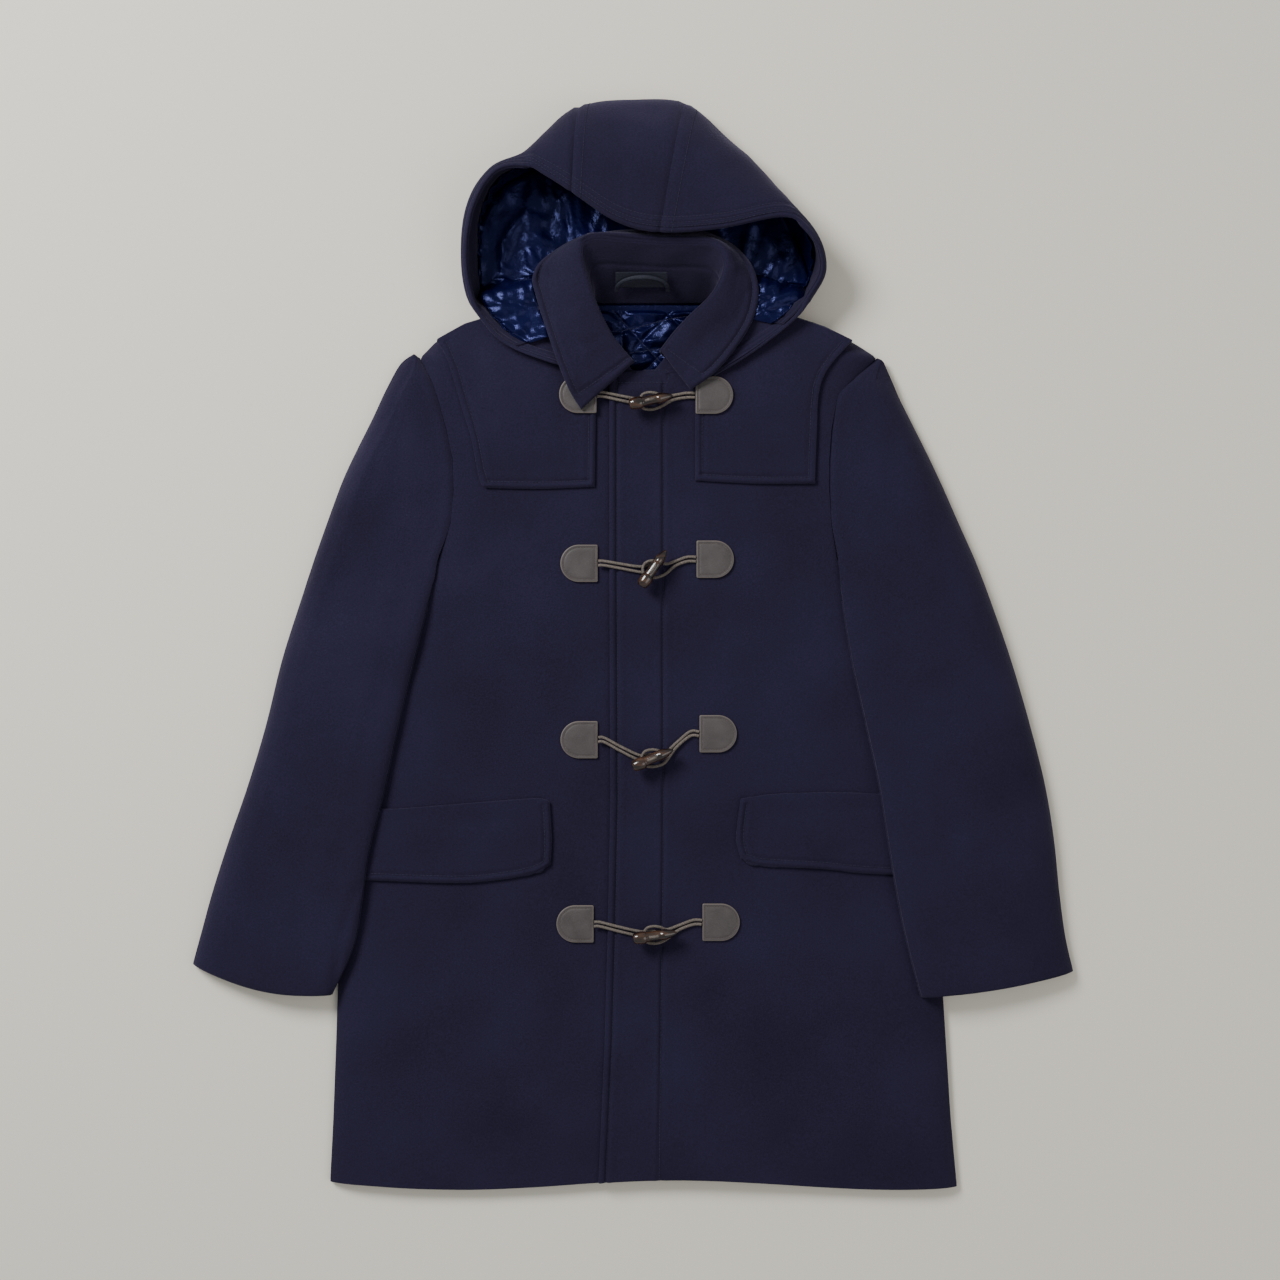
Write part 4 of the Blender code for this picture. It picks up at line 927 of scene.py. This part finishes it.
# Wool facing inside the opening, and the quilted satin beyond it
def lineHood(skin, grid, out, arcs, share, count):
    a, b = round(count * 0.09), round(count * 0.91)
    width = np.interp(share, (0, 0.12, 0.3, 0.38, 0.46, 0.74, 0.8, 0.9, 1),
                      (30, 44, 54, 46, 24, 24, 44, 38, 28))
    faceRows, faceOut, innerRows, innerOut, innerArcs = [], [], [], [], []
    over = arcs.shape[1] - 14

    def along3(places, s, table):
        return [[np.interp(t, s, table[:, c]) for c in range(3)] for t in places]

    for k in range(a, b):
        s = arcs[k, :over]
        w = min(width[k], s[-1] - 3)
        first = np.concatenate([(0, 0.9, 2, 3.3, 4.6, 6), np.linspace(7.5, w, 16)])
        second = np.concatenate([w - 1 + np.array((0, 1, 2, 3, 4.2)),
                                 np.linspace(w + 5, max(s[-1], w + 8), 44)])
        fine = np.linspace(0, 13, 40)
        faceRows.append(along3(first, s, skin[k, :over]))
        faceOut.append(along3(first, s, out[k, :over]))
        innerRows.append(along3(second, s, grid[k, :over])
                         + along3(fine, range(14), grid[k, over:]))
        innerOut.append(along3(second, s, out[k, :over]) + along3(fine, range(14), out[k, over:]))
        steps = np.linalg.norm(np.diff(np.array(innerRows[-1]), axis=0), axis=1)
        innerArcs.append(np.concatenate([[0], np.cumsum(steps)]))
    face, n = np.array(faceRows), np.array(faceOut)
    ripple = lumps(face, 8, 2.0) * 0.5 * smooth(np.arange(22) / 8)[None]
    face = face - n * (wool + 1.5 + ripple)[..., None]
    face[..., 2] = np.maximum(face[..., 2], 4.2)
    # The facing uses the darker copy of the navy wool, painted shade
    thing = cloth("hood_facing_wool", face, -n, 1.2, navyShadedCopy)
    settle(thing, "wool", "hood_facing")
    min(areaOf(face), 0.06 * 0.95)
    inner, n, s = np.array(innerRows), np.array(innerOut), np.array(innerArcs)
    lengthwise = np.cumsum(np.linalg.norm(np.diff(inner[:, 60], axis=0), axis=1))
    lengthwise = np.concatenate([[0], lengthwise])[:, None] * 1.35
    bend = lumps(inner, 30, 5.5) * 9
    pucker = 1.8 * np.sin(lengthwise / 1.9 + 2.4 * np.sin(lengthwise / 13)) * np.exp(-s / 13)
    radial = 3.8 * (0.5 - np.abs(np.sin(lengthwise / 11 + bend / 5)) ** 0.7) * np.exp(-s / 70)
    crumple = 3.8 * (0.42 - np.abs(lumps(inner * np.array([1, 0.5, 1]), 24, 1.3) * 1.7))
    crumple += 1.5 * (0.4 - np.abs(lumps(inner * np.array([1, 0.45, 1]), 10, 6.1) * 1.6))
    lines = np.minimum(np.abs(np.sin((lengthwise + s + bend) / 17)),
                       np.abs(np.sin((lengthwise - s + bend) / 17)))
    quilt = 3.2 * np.sqrt(lines + 0.01) - 2.0
    last = inner.shape[1]
    fade = smooth(s / 8) * smooth((last - np.arange(last))[None] / 8)
    lift = wool + 3.4 + pucker + (radial + crumple + quilt) * fade
    lining = inner - n * np.clip(lift, wool + 1.2, 12)[..., None]
    collar = treesOf("collar_leaf")[0]
    for row in lining:
        for spot in row[-46:]:
            hit = collar.ray_cast(Vector((spot[0], spot[1], 1.0)), -down)[0]
            if hit is not None:
                spot[2] = min(spot[2], hit.z - 1.4)
    thing = cloth("hood_lining_satin", lining, -n, 0.8, satin)
    settle(thing, "satin", "hood_lining")
    max(min(areaOf(lining) / 1.2, 0.62 * 0.5), 0.3 * 0.62 * 0.5)


hoodPieces()
print("hood ready")


# Collar: roll line x, y, z, outer edge x and y, foot of the stand x, y, z
collarSections = (
    (-1, 277, 33, -51, 233, -4, 276, 28), (-12, 289, 36, -62, 250, -14, 288, 28),
    (-23, 303, 39, -73, 276, -26, 304, 27), (-36, 328, 43, -85, 310, -41, 326, 24),
    (-46, 354, 46, -96, 346, -38, 341, 12), (-52, 379, 48, -99, 364, -32, 341, 7),
    (-50, 395, 49, -87, 384, -24, 341, 6), (-36, 401, 49, -56, 404, -16, 341, 6),
    (-10, 399, 48, -14, 413, -2, 341, 6), (30, 396, 47, 30, 413, 28, 341, 6),
    (60, 396, 48, 66, 413, 56, 341, 6), (82, 393, 49, 97, 400, 68, 341, 6),
    (92, 379, 48, 116, 378, 76, 342, 8), (90, 361, 46, 124, 350, 82, 344, 15),
    (78, 341, 43, 118, 320, 79, 337, 24), (58, 322, 40, 101, 292, 62, 318, 26),
    (42, 305, 37, 80, 268, 46, 302, 28), (29, 288, 33, 57, 252, 31, 285, 28))


def collarPieces():
    count = 170
    sections = along(collarSections, count)
    roll, edge = sections[:, :3], sections[:, 3:5]
    rows = []
    for k in range(count):
        width = float(np.hypot(*(edge[k] - roll[k, :2])))
        t = spread(width, (0, 0.7, 1.6, 2.8, 4.4, 6.5), (0, 0.6, 1.5, 2.8, 4.4, 5.7, 6.5, 7.3, 8.6, 11),
                   22) / width
        rows.append(roll[k, :2] + (edge[k] - roll[k, :2]) * t[:, None])
    plan = np.array(rows)
    inside = plan + (plan.mean(1, keepdims=True) - plan) * 0.02
    z = blurred(heights("collar_leaf", inside), 9, 2)
    x, y = plan[..., 0], plan[..., 1]
    path = []
    for k in range(7, count - 7):
        width = float(np.hypot(*(edge[k] - roll[k, :2])))
        path.append(tuple(roll[k, :2] + (edge[k] - roll[k, :2]) * (1 - min(6.5 / width, 0.6))))
    fronts = []
    for row, point in ((0, path[0]), (-1, path[-1])):
        neighbour = 1 if row == 0 else -2
        shift = plan[neighbour].mean(0) - plan[row].mean(0)
        shift = shift / np.linalg.norm(shift) * 6.5
        fronts.append([tuple(plan[row, 2] + shift), point])
    paths = [fronts[0] + path[1:-1:3] + fronts[1][::-1]]
    grid = np.concatenate([plan, z[..., None]], -1)
    creases = ((-40, 300, -58, 330, 9, 1.6), (-30, 285, -66, 300, 7, -0.9),
               (-62, 372, -88, 350, 9, -1.4), (60, 292, 96, 318, 9, -1.2),
               (96, 372, 116, 350, 9, 1.5), (-30, 403, 60, 404, 7, 0.9))
    z = z + lumps(grid, 38, 7.7) * 1.3 + creased(creases, x, y) + stitched(paths, x, y, 1.4)
    rim = distanceTo([tuple(p) for p in plan[:, -1]], x, y)
    for row in (0, -1):
        rim = np.minimum(rim, distanceTo([tuple(plan[row, 0]), tuple(plan[row, -1])], x, y))
    z = z + 0.7 * np.exp(-((rim - 3.0) / 2.2) ** 2) - 0.9 * np.exp(-(rim / 0.9) ** 2)
    grid = np.concatenate([plan, z[..., None]], -1)
    ahead = np.gradient(roll, axis=0)
    inward = np.stack([ahead[:, 1], -ahead[:, 0], 0 * ahead[:, 0]], -1)
    inward /= np.linalg.norm(inward, axis=1, keepdims=True)
    turned = []
    for reach, fall in ((3.9, 4.2), (3.6, 2.2), (2.6, 0.9), (1.3, 0.2)):
        line = roll + inward * reach
        line[:, 2] = z[:, 0] - fall
        turned.append(line[:, None])
    grid = np.concatenate(turned + [grid], 1)
    thing = cloth("collar_leaf_wool", grid, normalsOf(grid, True), 3.4, navy)
    keepSurface(thing)
    settle(thing, "wool", "collar_leaf")
    for path in paths:
        sew(thing.name, denser(path))
    min(areaOf(grid), 0.56 * 0.085)
    foot = sections[:, 5:8]
    top = roll + inward * 3.4
    top[:, 2] = z[:, 0] - 1.2
    t = np.linspace(0, 1, 40)
    stand = (top[:, None] * (1 - t)[None, :, None] + foot[:, None] * t[None, :, None]
             + inward[:, None] * (1.5 * np.sin(np.pi * t))[None, :, None])
    soft = lumps(stand, 26, 3.9) * 1.5
    lengthwise = np.arange(count)[:, None] / count
    soft = soft - 1.1 * np.exp(-((t[None] - 0.36) / 0.03) ** 2) * (np.abs(lengthwise - 0.5) < 0.28)
    n = normalsOf(stand, True)
    stand = stand + n * (soft * smooth(t / 0.12) * smooth((1 - t) / 0.1))[..., None]
    # The stand uses the darker copy of the navy wool, painted shade
    thing = cloth("collar_stand_wool", stand, n, 2.2, navyShadedCopy)
    keepSurface(thing)
    settle(thing, "wool", "collar_stand")
    min(areaOf(stand), 0.46 * 0.075)


collarPieces()


def neckPieces():
    outline = {"bottom": ((-120, 190), (25, 186), (160, 190)),
               "top": ((-30, 334), (25, 334), (74, 334)),
               "outer": ((-120, 190), (-112, 260), (-60, 312), (-30, 334)),
               "inner": ((160, 190), (150, 260), (106, 312), (74, 334))}
    plan = patch(outline["bottom"], outline["top"], outline["outer"], outline["inner"],
                 np.linspace(0, 1, 150), np.linspace(0, 1, 130))
    x, y = plan[..., 0], plan[..., 1]
    z = np.full(x.shape, 5.3)
    lines = [((-60, 318), (-16, 313), (40, 326), (90, 330)),
             ((-40, 287), (-6, 291), (40, 298), (80, 306)),
             ((-60, 262), (0, 268), (70, 280)), ((-11, 344), (-11, 300), (-14, 190)),
             ((-30, 345), (20, 290), (60, 250)), ((80, 345), (30, 292), (-20, 240)),
             ((20, 345), (60, 305), (100, 262)), ((50, 345), (6, 300), (-34, 262)),
             ((-80, 235), (20, 242), (120, 252))]
    near = np.full(x.shape, 1e9)
    for line in lines:
        near = np.minimum(near, distanceTo([tuple(p) for p in along(line, 14)], x, y))
    grid = np.concatenate([plan, z[..., None]], -1)
    puff = 6.5 * (1 - np.exp(-near / 6.5)) - 1.8
    pull = 1.0 * np.sin(x / 2.3 + 2.2 * np.sin(y / 6.5)) * np.exp(-near / 4)
    folds = 2.2 * (0.4 - np.abs(lumps(grid * np.array([0.3, 1.2, 1]), 17, 4.8) * 1.6))
    z = z + puff + pull + folds + lumps(grid * np.array([0.5, 1.3, 1]), 8, 8.2) * 0.5
    edgeFade = np.minimum.reduce([smooth(np.linspace(0, 1, 130) * 9)[:, None],
                                  smooth(np.linspace(1, 0, 130) * 9)[:, None]])
    z = np.clip(4.6 + (z - 4.6) * edgeFade, 3.8, 15)
    grid = np.concatenate([plan, z[..., None]], -1)
    thing = cloth("neck_lining_satin", grid, normalsOf(grid, True), 0.9, satin)
    keepSurface(thing)
    settle(thing, "satin", "neck_lining")
    min(areaOf(grid) / 1.2, 0.3 * 0.15)
    for line in lines[:3] + lines[4:6]:
        sew(thing.name, [tuple(p) for p in along(line, 60)], 0.15)
    spots = np.linspace(-17, 34, 34)
    plan = np.stack(np.meshgrid(spots, np.linspace(354, 367.5, 14)), -1)
    z = heights("neck_patch", plan) + 0.4
    grid = np.concatenate([plan, z[..., None]], -1)
    thing = cloth("neck_patch_cloth", grid, normalsOf(grid, True), 0.5, tapeLook)
    settle(thing, "patch", "neck_patch")
    t = np.linspace(0, 1, 60)
    angle = np.pi * t
    middle = np.stack([9.5 - 25.5 * np.cos(angle), 350 + 12.5 * np.sin(angle) ** 0.8], -1)
    across = np.stack([-np.cos(angle), np.sin(angle) * 0.6], -1)
    across /= np.linalg.norm(across, axis=1, keepdims=True)
    steps = np.linspace(-1, 1, 9)
    plan = middle[:, None] + across[:, None] * 2.2 * steps[None, :, None]
    z = blurred(heights("hanger_loop", plan), 4, 2) + 0.9 * np.sqrt(1.02 - steps ** 2)[None]
    grid = np.concatenate([plan, z[..., None]], -1)
    thing = cloth("hanger_loop_tape", grid, normalsOf(grid, True), 1.4, tapeLook)
    settle(thing, "loop", "hanger_loop")
    min(areaOf(grid), 0.07 * 0.012)


neckPieces()
print("collar and neck ready")


# Leather tabs
def within(points, middle, inset):
    if inset < 1:
        return insetLoop(points, inset)
    first = insetLoop(points, 1.0)
    return first + (np.array(middle) - first) * (inset - 1) / 17


def tabPiece(name, flatX, y, side):
    low, high = (np.array(c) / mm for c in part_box(name))
    half = 18.5
    centre = flatX + side * (37 - half)
    points = [(flatX, v) for v in np.linspace(y - half + 1.2, y + half - 1.2, 22)]
    points += [(flatX + side * 0.4, y + half - 0.35), (flatX + side * 1.3, y + half)]
    points += [(flatX + side * v, y + half) for v in np.linspace(3, 37 - half - 1, 8)]
    points += [(centre + side * half * math.sin(a), y + half * math.cos(a))
               for a in np.linspace(0, math.pi, 40)]
    points += [(flatX + side * v, y - half) for v in np.linspace(37 - half - 1, 3, 8)]
    points += [(flatX + side * 1.3, y - half), (flatX + side * 0.4, y - half + 0.35)]
    bottom, top = low[2], high[2]
    rings = ((0.3, bottom), (-0.05, bottom + 0.5), (-0.05, top - 0.55), (0.2, top - 0.15),
             (0.65, top + 0.05), (1.4, top + 0.12), (2.2, top - 0.02), (2.8, top - 0.32),
             (3.4, top - 0.02), (4.6, top + 0.18), (6.5, top + 0.28))
    middle = (centre - side * 2, y)
    vertices, marks = [], []
    for inset, z in rings:
        for x, v in within(points, middle, inset):
            ripple = 0.12 * noise.noise(Vector((x / 9, v / 9, flatX)))
            vertices.append((x, v, z + ripple * (inset > 1)))
            marks.append(max(inset, 0.0))
    count = len(points)
    outline = within(points, middle, 6.5)
    for pull, z in ((0.35, top + 0.34), (0.7, top + 0.38)):
        for x, v in outline + (np.array(middle) - outline) * pull:
            vertices.append((x, v, z))
            marks.append(8.0)
    for z, mark in ((bottom, 5.0), (top + 0.4, 9.0)):
        vertices.append((*middle, z))
        marks.append(mark)
    faces = []
    for r in range(len(rings) + 1):
        for k in range(count):
            m = (k + 1) % count
            faces.append((r * count + k, r * count + m, (r + 1) * count + m, (r + 1) * count + k))
    last = (len(rings) + 1) * count
    for k in range(count):
        m = (k + 1) % count
        faces.append((k, len(vertices) - 2, m))
        faces.append((last + k, last + m, len(vertices) - 1))
    thing = linkMesh(name + "_leather", vertices, faces, [leather])
    attribute = thing.data.attributes.new("inset", "FLOAT", "POINT")
    attribute.data.foreach_set("value", marks)
    shape = bmesh.new()
    shape.from_mesh(thing.data)
    bmesh.ops.recalc_face_normals(shape, faces=shape.faces)
    shape.to_mesh(thing.data)
    shape.free()
    settle(thing, "leather", name)
    line = within(points, middle, 2.8)
    seams["leather_thread"].append([Vector((x * mm, v * mm, (top - 0.05) * mm))
                                    for x, v in [*line, line[0]]])


# Braided cords and turned horn toggles, along the same routes as the solids
def tube(name, points, radius, material, slot):
    route = along(points, 9 * len(points))
    steps = np.linalg.norm(np.diff(route, axis=0), axis=1)
    run = np.concatenate([[0], np.cumsum(steps)])
    places = np.arange(0, run[-1], 0.55)
    route = np.stack([np.interp(places, run, route[:, c]) for c in range(3)], -1)
    ahead = np.gradient(route, axis=0)
    ahead /= np.linalg.norm(ahead, axis=1, keepdims=True)
    sides = 16
    normal = np.cross(ahead[0], (0, 0, 1.0))
    vertices, faces = [], []
    for k, (spot, run) in enumerate(zip(route, ahead)):
        normal = normal - run * (normal @ run)
        normal = normal / np.linalg.norm(normal)
        other = np.cross(run, normal)
        for j in range(sides):
            a = 2 * math.pi * j / sides
            plait = math.sin(4 * a + places[k] * 2.3) * math.sin(4 * a - places[k] * 2.3)
            r = radius * (0.97 + 0.1 * plait)
            vertices.append(spot + (normal * math.cos(a) + other * math.sin(a)) * r)
    for k in range(len(route) - 1):
        for j in range(sides):
            m = (j + 1) % sides
            faces.append((k * sides + j, k * sides + m, (k + 1) * sides + m, (k + 1) * sides + j))
    faces.append(tuple(range(sides - 1, -1, -1)))
    faces.append(tuple((len(route) - 1) * sides + j for j in range(sides)))
    thing = linkMesh(name + "_braid", vertices, faces, [material])
    return settle(thing, slot, name)


def fastening(number, places, carrier):
    rightX, rightY, leftX, leftY, x, y, turn = places
    level = topOf(carrier, x, y, 12.0)
    tabPiece(f"tab_{number}_right", rightX, rightY, -1)
    tabPiece(f"tab_{number}_left", leftX, leftY, 1)
    ax = 4.0 * math.cos(math.radians(turn))
    ay = 4.0 * math.sin(math.radians(turn))
    low = level + 1.9
    start = rightX + gap + 0.1
    middle = (start + x) / 2 - 4
    drift = (rightY + y) / 2
    tube(f"cord_{number}_right", [
        (start, rightY - 2.1, low), (start + 6, rightY - 2.1, low), (middle, drift - 2.2, low),
        (x - 12, y - 1.9 - ay * 0.3, low), (x - ax - 1.2, y - ay - 0.2, level + 5.2),
        (x - ax, y - ay, level + 10), (x - ax, y - ay, level + 15),
        (x - ax, y - ay, level + 19.5), (x - ax * 0.62, y - ay * 0.62, level + 21.6),
        (x, y, level + 22.2),
        (x + ax * 0.62, y + ay * 0.62, level + 21.6), (x + ax, y + ay, level + 19.5),
        (x + ax, y + ay, level + 15), (x + ax, y + ay, level + 10),
        (x + ax - 0.6, y + ay + 0.6, level + 5.4),
        (x + ax - 5, y + max(ay, 1.2) + 2.4, low + 0.2), (x - 12, y + 2.6, low),
        (middle, drift + 2.2, low), (start + 6, rightY + 2.1, low),
        (start, rightY + 2.1, low)], 1.5, cordLook, "cord")
    high = level + 5.7
    start = leftX - gap - 0.1
    far = start - 9
    drift = (leftY + y) / 2
    tube(f"cord_{number}_left", [
        (start, leftY + 2.1, low), (far, leftY + 2.2, low),
        ((far + x) / 2 + 5, drift + 3.0, low + 0.6),
        (x + 13, y + 5.2, low + 1.6), (x + 6, y + 7.6, high),
        (x - 1, y + 8.4, high), (x - 7.5, y + 6.2, high), (x - 10.2, y, high),
        (x - 7.5, y - 6.6, high), (x - 1, y - 8.4, high), (x + 6, y - 7.4, high),
        (x + 13, y - 4.0, low + 1.6), ((far + x) / 2 + 5, drift - 1.6, low + 0.6),
        (far, leftY - 2.2, low), (start, leftY - 2.1, low)], 1.5, cordLook, "cord")
    togglePiece(f"toggle_{number}", x, y, level + 14.2, turn)


def togglePiece(name, x, y, z, turn):
    profile = np.array(((-21, 0), (-21, 3.2), (-20.6, 4.6), (-19.3, 5.6), (-16, 6.3), (-13, 6.5),
                        (-10, 6.3), (-8.3, 5.7), (-7.4, 5.0), (-6, 4.85), (0, 4.95), (6, 4.95),
                        (7.4, 5.1), (8.4, 5.5), (10, 5.6), (12, 5.3), (14.5, 4.6), (18, 3.3),
                        (20.5, 2.2), (22, 1.2), (22.5, 0.5), (22.6, 0)), float)
    spots = np.concatenate([np.linspace(a, b, 4)[:-1] for a, b in zip(profile, profile[1:])]
                           + [profile[-1:]])
    sides = 36
    spin = Matrix.Rotation(math.radians(turn), 3, "Z")
    vertices, faces = [], []
    for a, r in spots:
        for j in range(sides):
            angle = 2 * math.pi * j / sides
            spot = Vector((a / 9, math.cos(angle) * 1.4, math.sin(angle) * 1.4))
            grain = 1 + 0.035 * noise.noise(spot)
            facet = 1 - 0.05 * (abs(math.sin(2 * angle)) ** 3) * (a > 8)
            v = spin @ Vector((a, r * grain * facet * math.cos(angle) * 0.98,
                               r * grain * facet * math.sin(angle) * 0.98))
            vertices.append((v.x + x, v.y + y, v.z + z))
    for k in range(len(spots) - 1):
        for j in range(sides):
            m = (j + 1) % sides
            faces.append((k * sides + j, k * sides + m, (k + 1) * sides + m, (k + 1) * sides + j))
    thing = linkMesh(name + "_horn", vertices, faces, [horn])
    shape = bmesh.new()
    shape.from_mesh(thing.data)
    bmesh.ops.remove_doubles(shape, verts=shape.verts, dist=0.01 * mm)
    bmesh.ops.recalc_face_normals(shape, faces=shape.faces)
    shape.to_mesh(thing.data)
    shape.free()
    settle(thing, "horn", name)


frontTree = treesOf("front_left")
for number, places in enumerate(fastenings, 1):
    fastening(number, places, frontTree)
print("fastenings ready")


# Stitches: one small thread link on every step of each stitch line
def stitchGroup(name):
    group = bpy.data.node_groups.new(name, "GeometryNodeTree")
    face = group.interface
    face.new_socket("Lines", in_out="INPUT", socket_type="NodeSocketGeometry")
    for label in ("Spacing", "Length", "Thickness"):
        face.new_socket(label, in_out="INPUT", socket_type="NodeSocketFloat")
    face.new_socket("Thread", in_out="INPUT", socket_type="NodeSocketMaterial")
    face.new_socket("Stitches", in_out="OUTPUT", socket_type="NodeSocketGeometry")
    source = group.nodes.new("NodeGroupInput")
    result = group.nodes.new("NodeGroupOutput")

    def put(kind, inputs=None, **settings):
        node = group.nodes.new(kind)
        for key, value in settings.items():
            setattr(node, key, value)
        for key, value in (inputs or {}).items():
            if isinstance(value, bpy.types.NodeSocket):
                group.links.new(value, node.inputs[key])
            else:
                node.inputs[key].default_value = value
        return node

    curves = put("GeometryNodeMeshToCurve", {"Mesh": source.outputs["Lines"]})
    points = put("GeometryNodeResampleCurve", {"Curve": curves.outputs[0]})
    points.mode = "LENGTH"
    group.links.new(source.outputs["Spacing"], points.inputs["Length"])
    tangent = put("GeometryNodeInputTangent")
    turn = put("FunctionNodeAlignRotationToVector", {"Vector": tangent.outputs[0]}, axis="Z")
    link = put("GeometryNodeMeshCylinder", {"Vertices": 6, "Radius": source.outputs["Thickness"],
                                            "Depth": source.outputs["Length"]})
    placed = put("GeometryNodeInstanceOnPoints", {"Points": points.outputs[0],
                                                  "Instance": link.outputs[0],
                                                  "Rotation": turn.outputs[0]})
    real = put("GeometryNodeRealizeInstances", {"Geometry": placed.outputs[0]})
    painted = put("GeometryNodeSetMaterial", {"Geometry": real.outputs[0],
                                              "Material": source.outputs["Thread"]})
    group.links.new(painted.outputs[0], result.inputs[0])
    return group


def stitchPiece(name, lines, spacing, length, thickness, material, slot):
    vertices, edges = [], []
    for line in lines:
        start = len(vertices)
        vertices += [tuple(v) for v in line]
        edges += [(start + k, start + k + 1) for k in range(len(line) - 1)]
    mesh = bpy.data.meshes.new(name + "_lines")
    mesh.from_pydata(vertices, edges, [])
    lineThing = bpy.data.objects.new(name + "_lines", mesh)
    bpy.context.scene.collection.objects.link(lineThing)
    group = stitchGroup(name)
    modifier = lineThing.modifiers.new("Stitches", "NODES")
    modifier.node_group = group
    values = {"Spacing": spacing, "Length": length, "Thickness": thickness, "Thread": material}
    for item in group.interface.items_tree:
        if item.in_out == "INPUT" and item.name in values:
            modifier[item.identifier] = values[item.name]
    bpy.context.view_layer.update()
    graph = bpy.context.evaluated_depsgraph_get()
    sewn = bpy.data.meshes.new_from_object(lineThing.evaluated_get(graph))
    bpy.data.objects.remove(lineThing, do_unlink=True)
    thing = bpy.data.objects.new(name, sewn)
    bpy.context.scene.collection.objects.link(thing)
    settle(thing, slot)


stitchPiece("wool_stitches", seams["thread"], 3.4 * mm, 2.5 * mm, 0.28 * mm, threadLook, "wool")
stitchPiece("tab_stitches", seams["leather_thread"], 2.6 * mm, 1.9 * mm, 0.22 * mm, leatherThread,
            "leather")
print("stitches ready")


# Floor, light and camera
def floorPlane():
    material, _, shader = newMaterial("pale_floor", 0.85)
    shader.inputs["Base Color"].default_value = (0.86, 0.79, 0.665, 1)
    thing = linkMesh("floor", [(-4000, -4000, 0), (4000, -4000, 0), (4000, 4000, 0),
                               (-4000, 4000, 0)], [(0, 1, 2, 3)], [material])
    thing.location.z = -0.0005


def areaLight(name, place, size, power, colour):
    light = bpy.data.lights.new(name, "AREA")
    light.shape = "DISK"
    light.size = size
    light.energy = power
    light.color = colour
    thing = bpy.data.objects.new(name, light)
    thing.location = place
    thing.rotation_euler = (-Vector(place)).to_track_quat("-Z", "Y").to_euler()
    bpy.context.scene.collection.objects.link(thing)


def camera():
    lens = bpy.data.cameras.new("camera")
    lens.sensor_width = 36
    lens.lens = 36 * 2.4 / 1.28
    thing = bpy.data.objects.new("camera", lens)
    thing.location = (0.007, 0.005, 2.4)
    bpy.context.scene.collection.objects.link(thing)
    bpy.context.scene.camera = thing


floorPlane()
areaLight("window", (-1.6, 1.5, 1.9), 1.2, 88, (0.95, 0.98, 1.0))
areaLight("fill", (1.8, -0.6, 2.4), 2.4, 18, (1.0, 0.98, 0.95))
world = bpy.data.worlds.new("studio")
world.use_nodes = True
world.node_tree.nodes["Background"].inputs[0].default_value = (0.9, 0.95, 1.0, 1)
world.node_tree.nodes["Background"].inputs[1].default_value = 0.42
bpy.context.scene.world = world
camera()
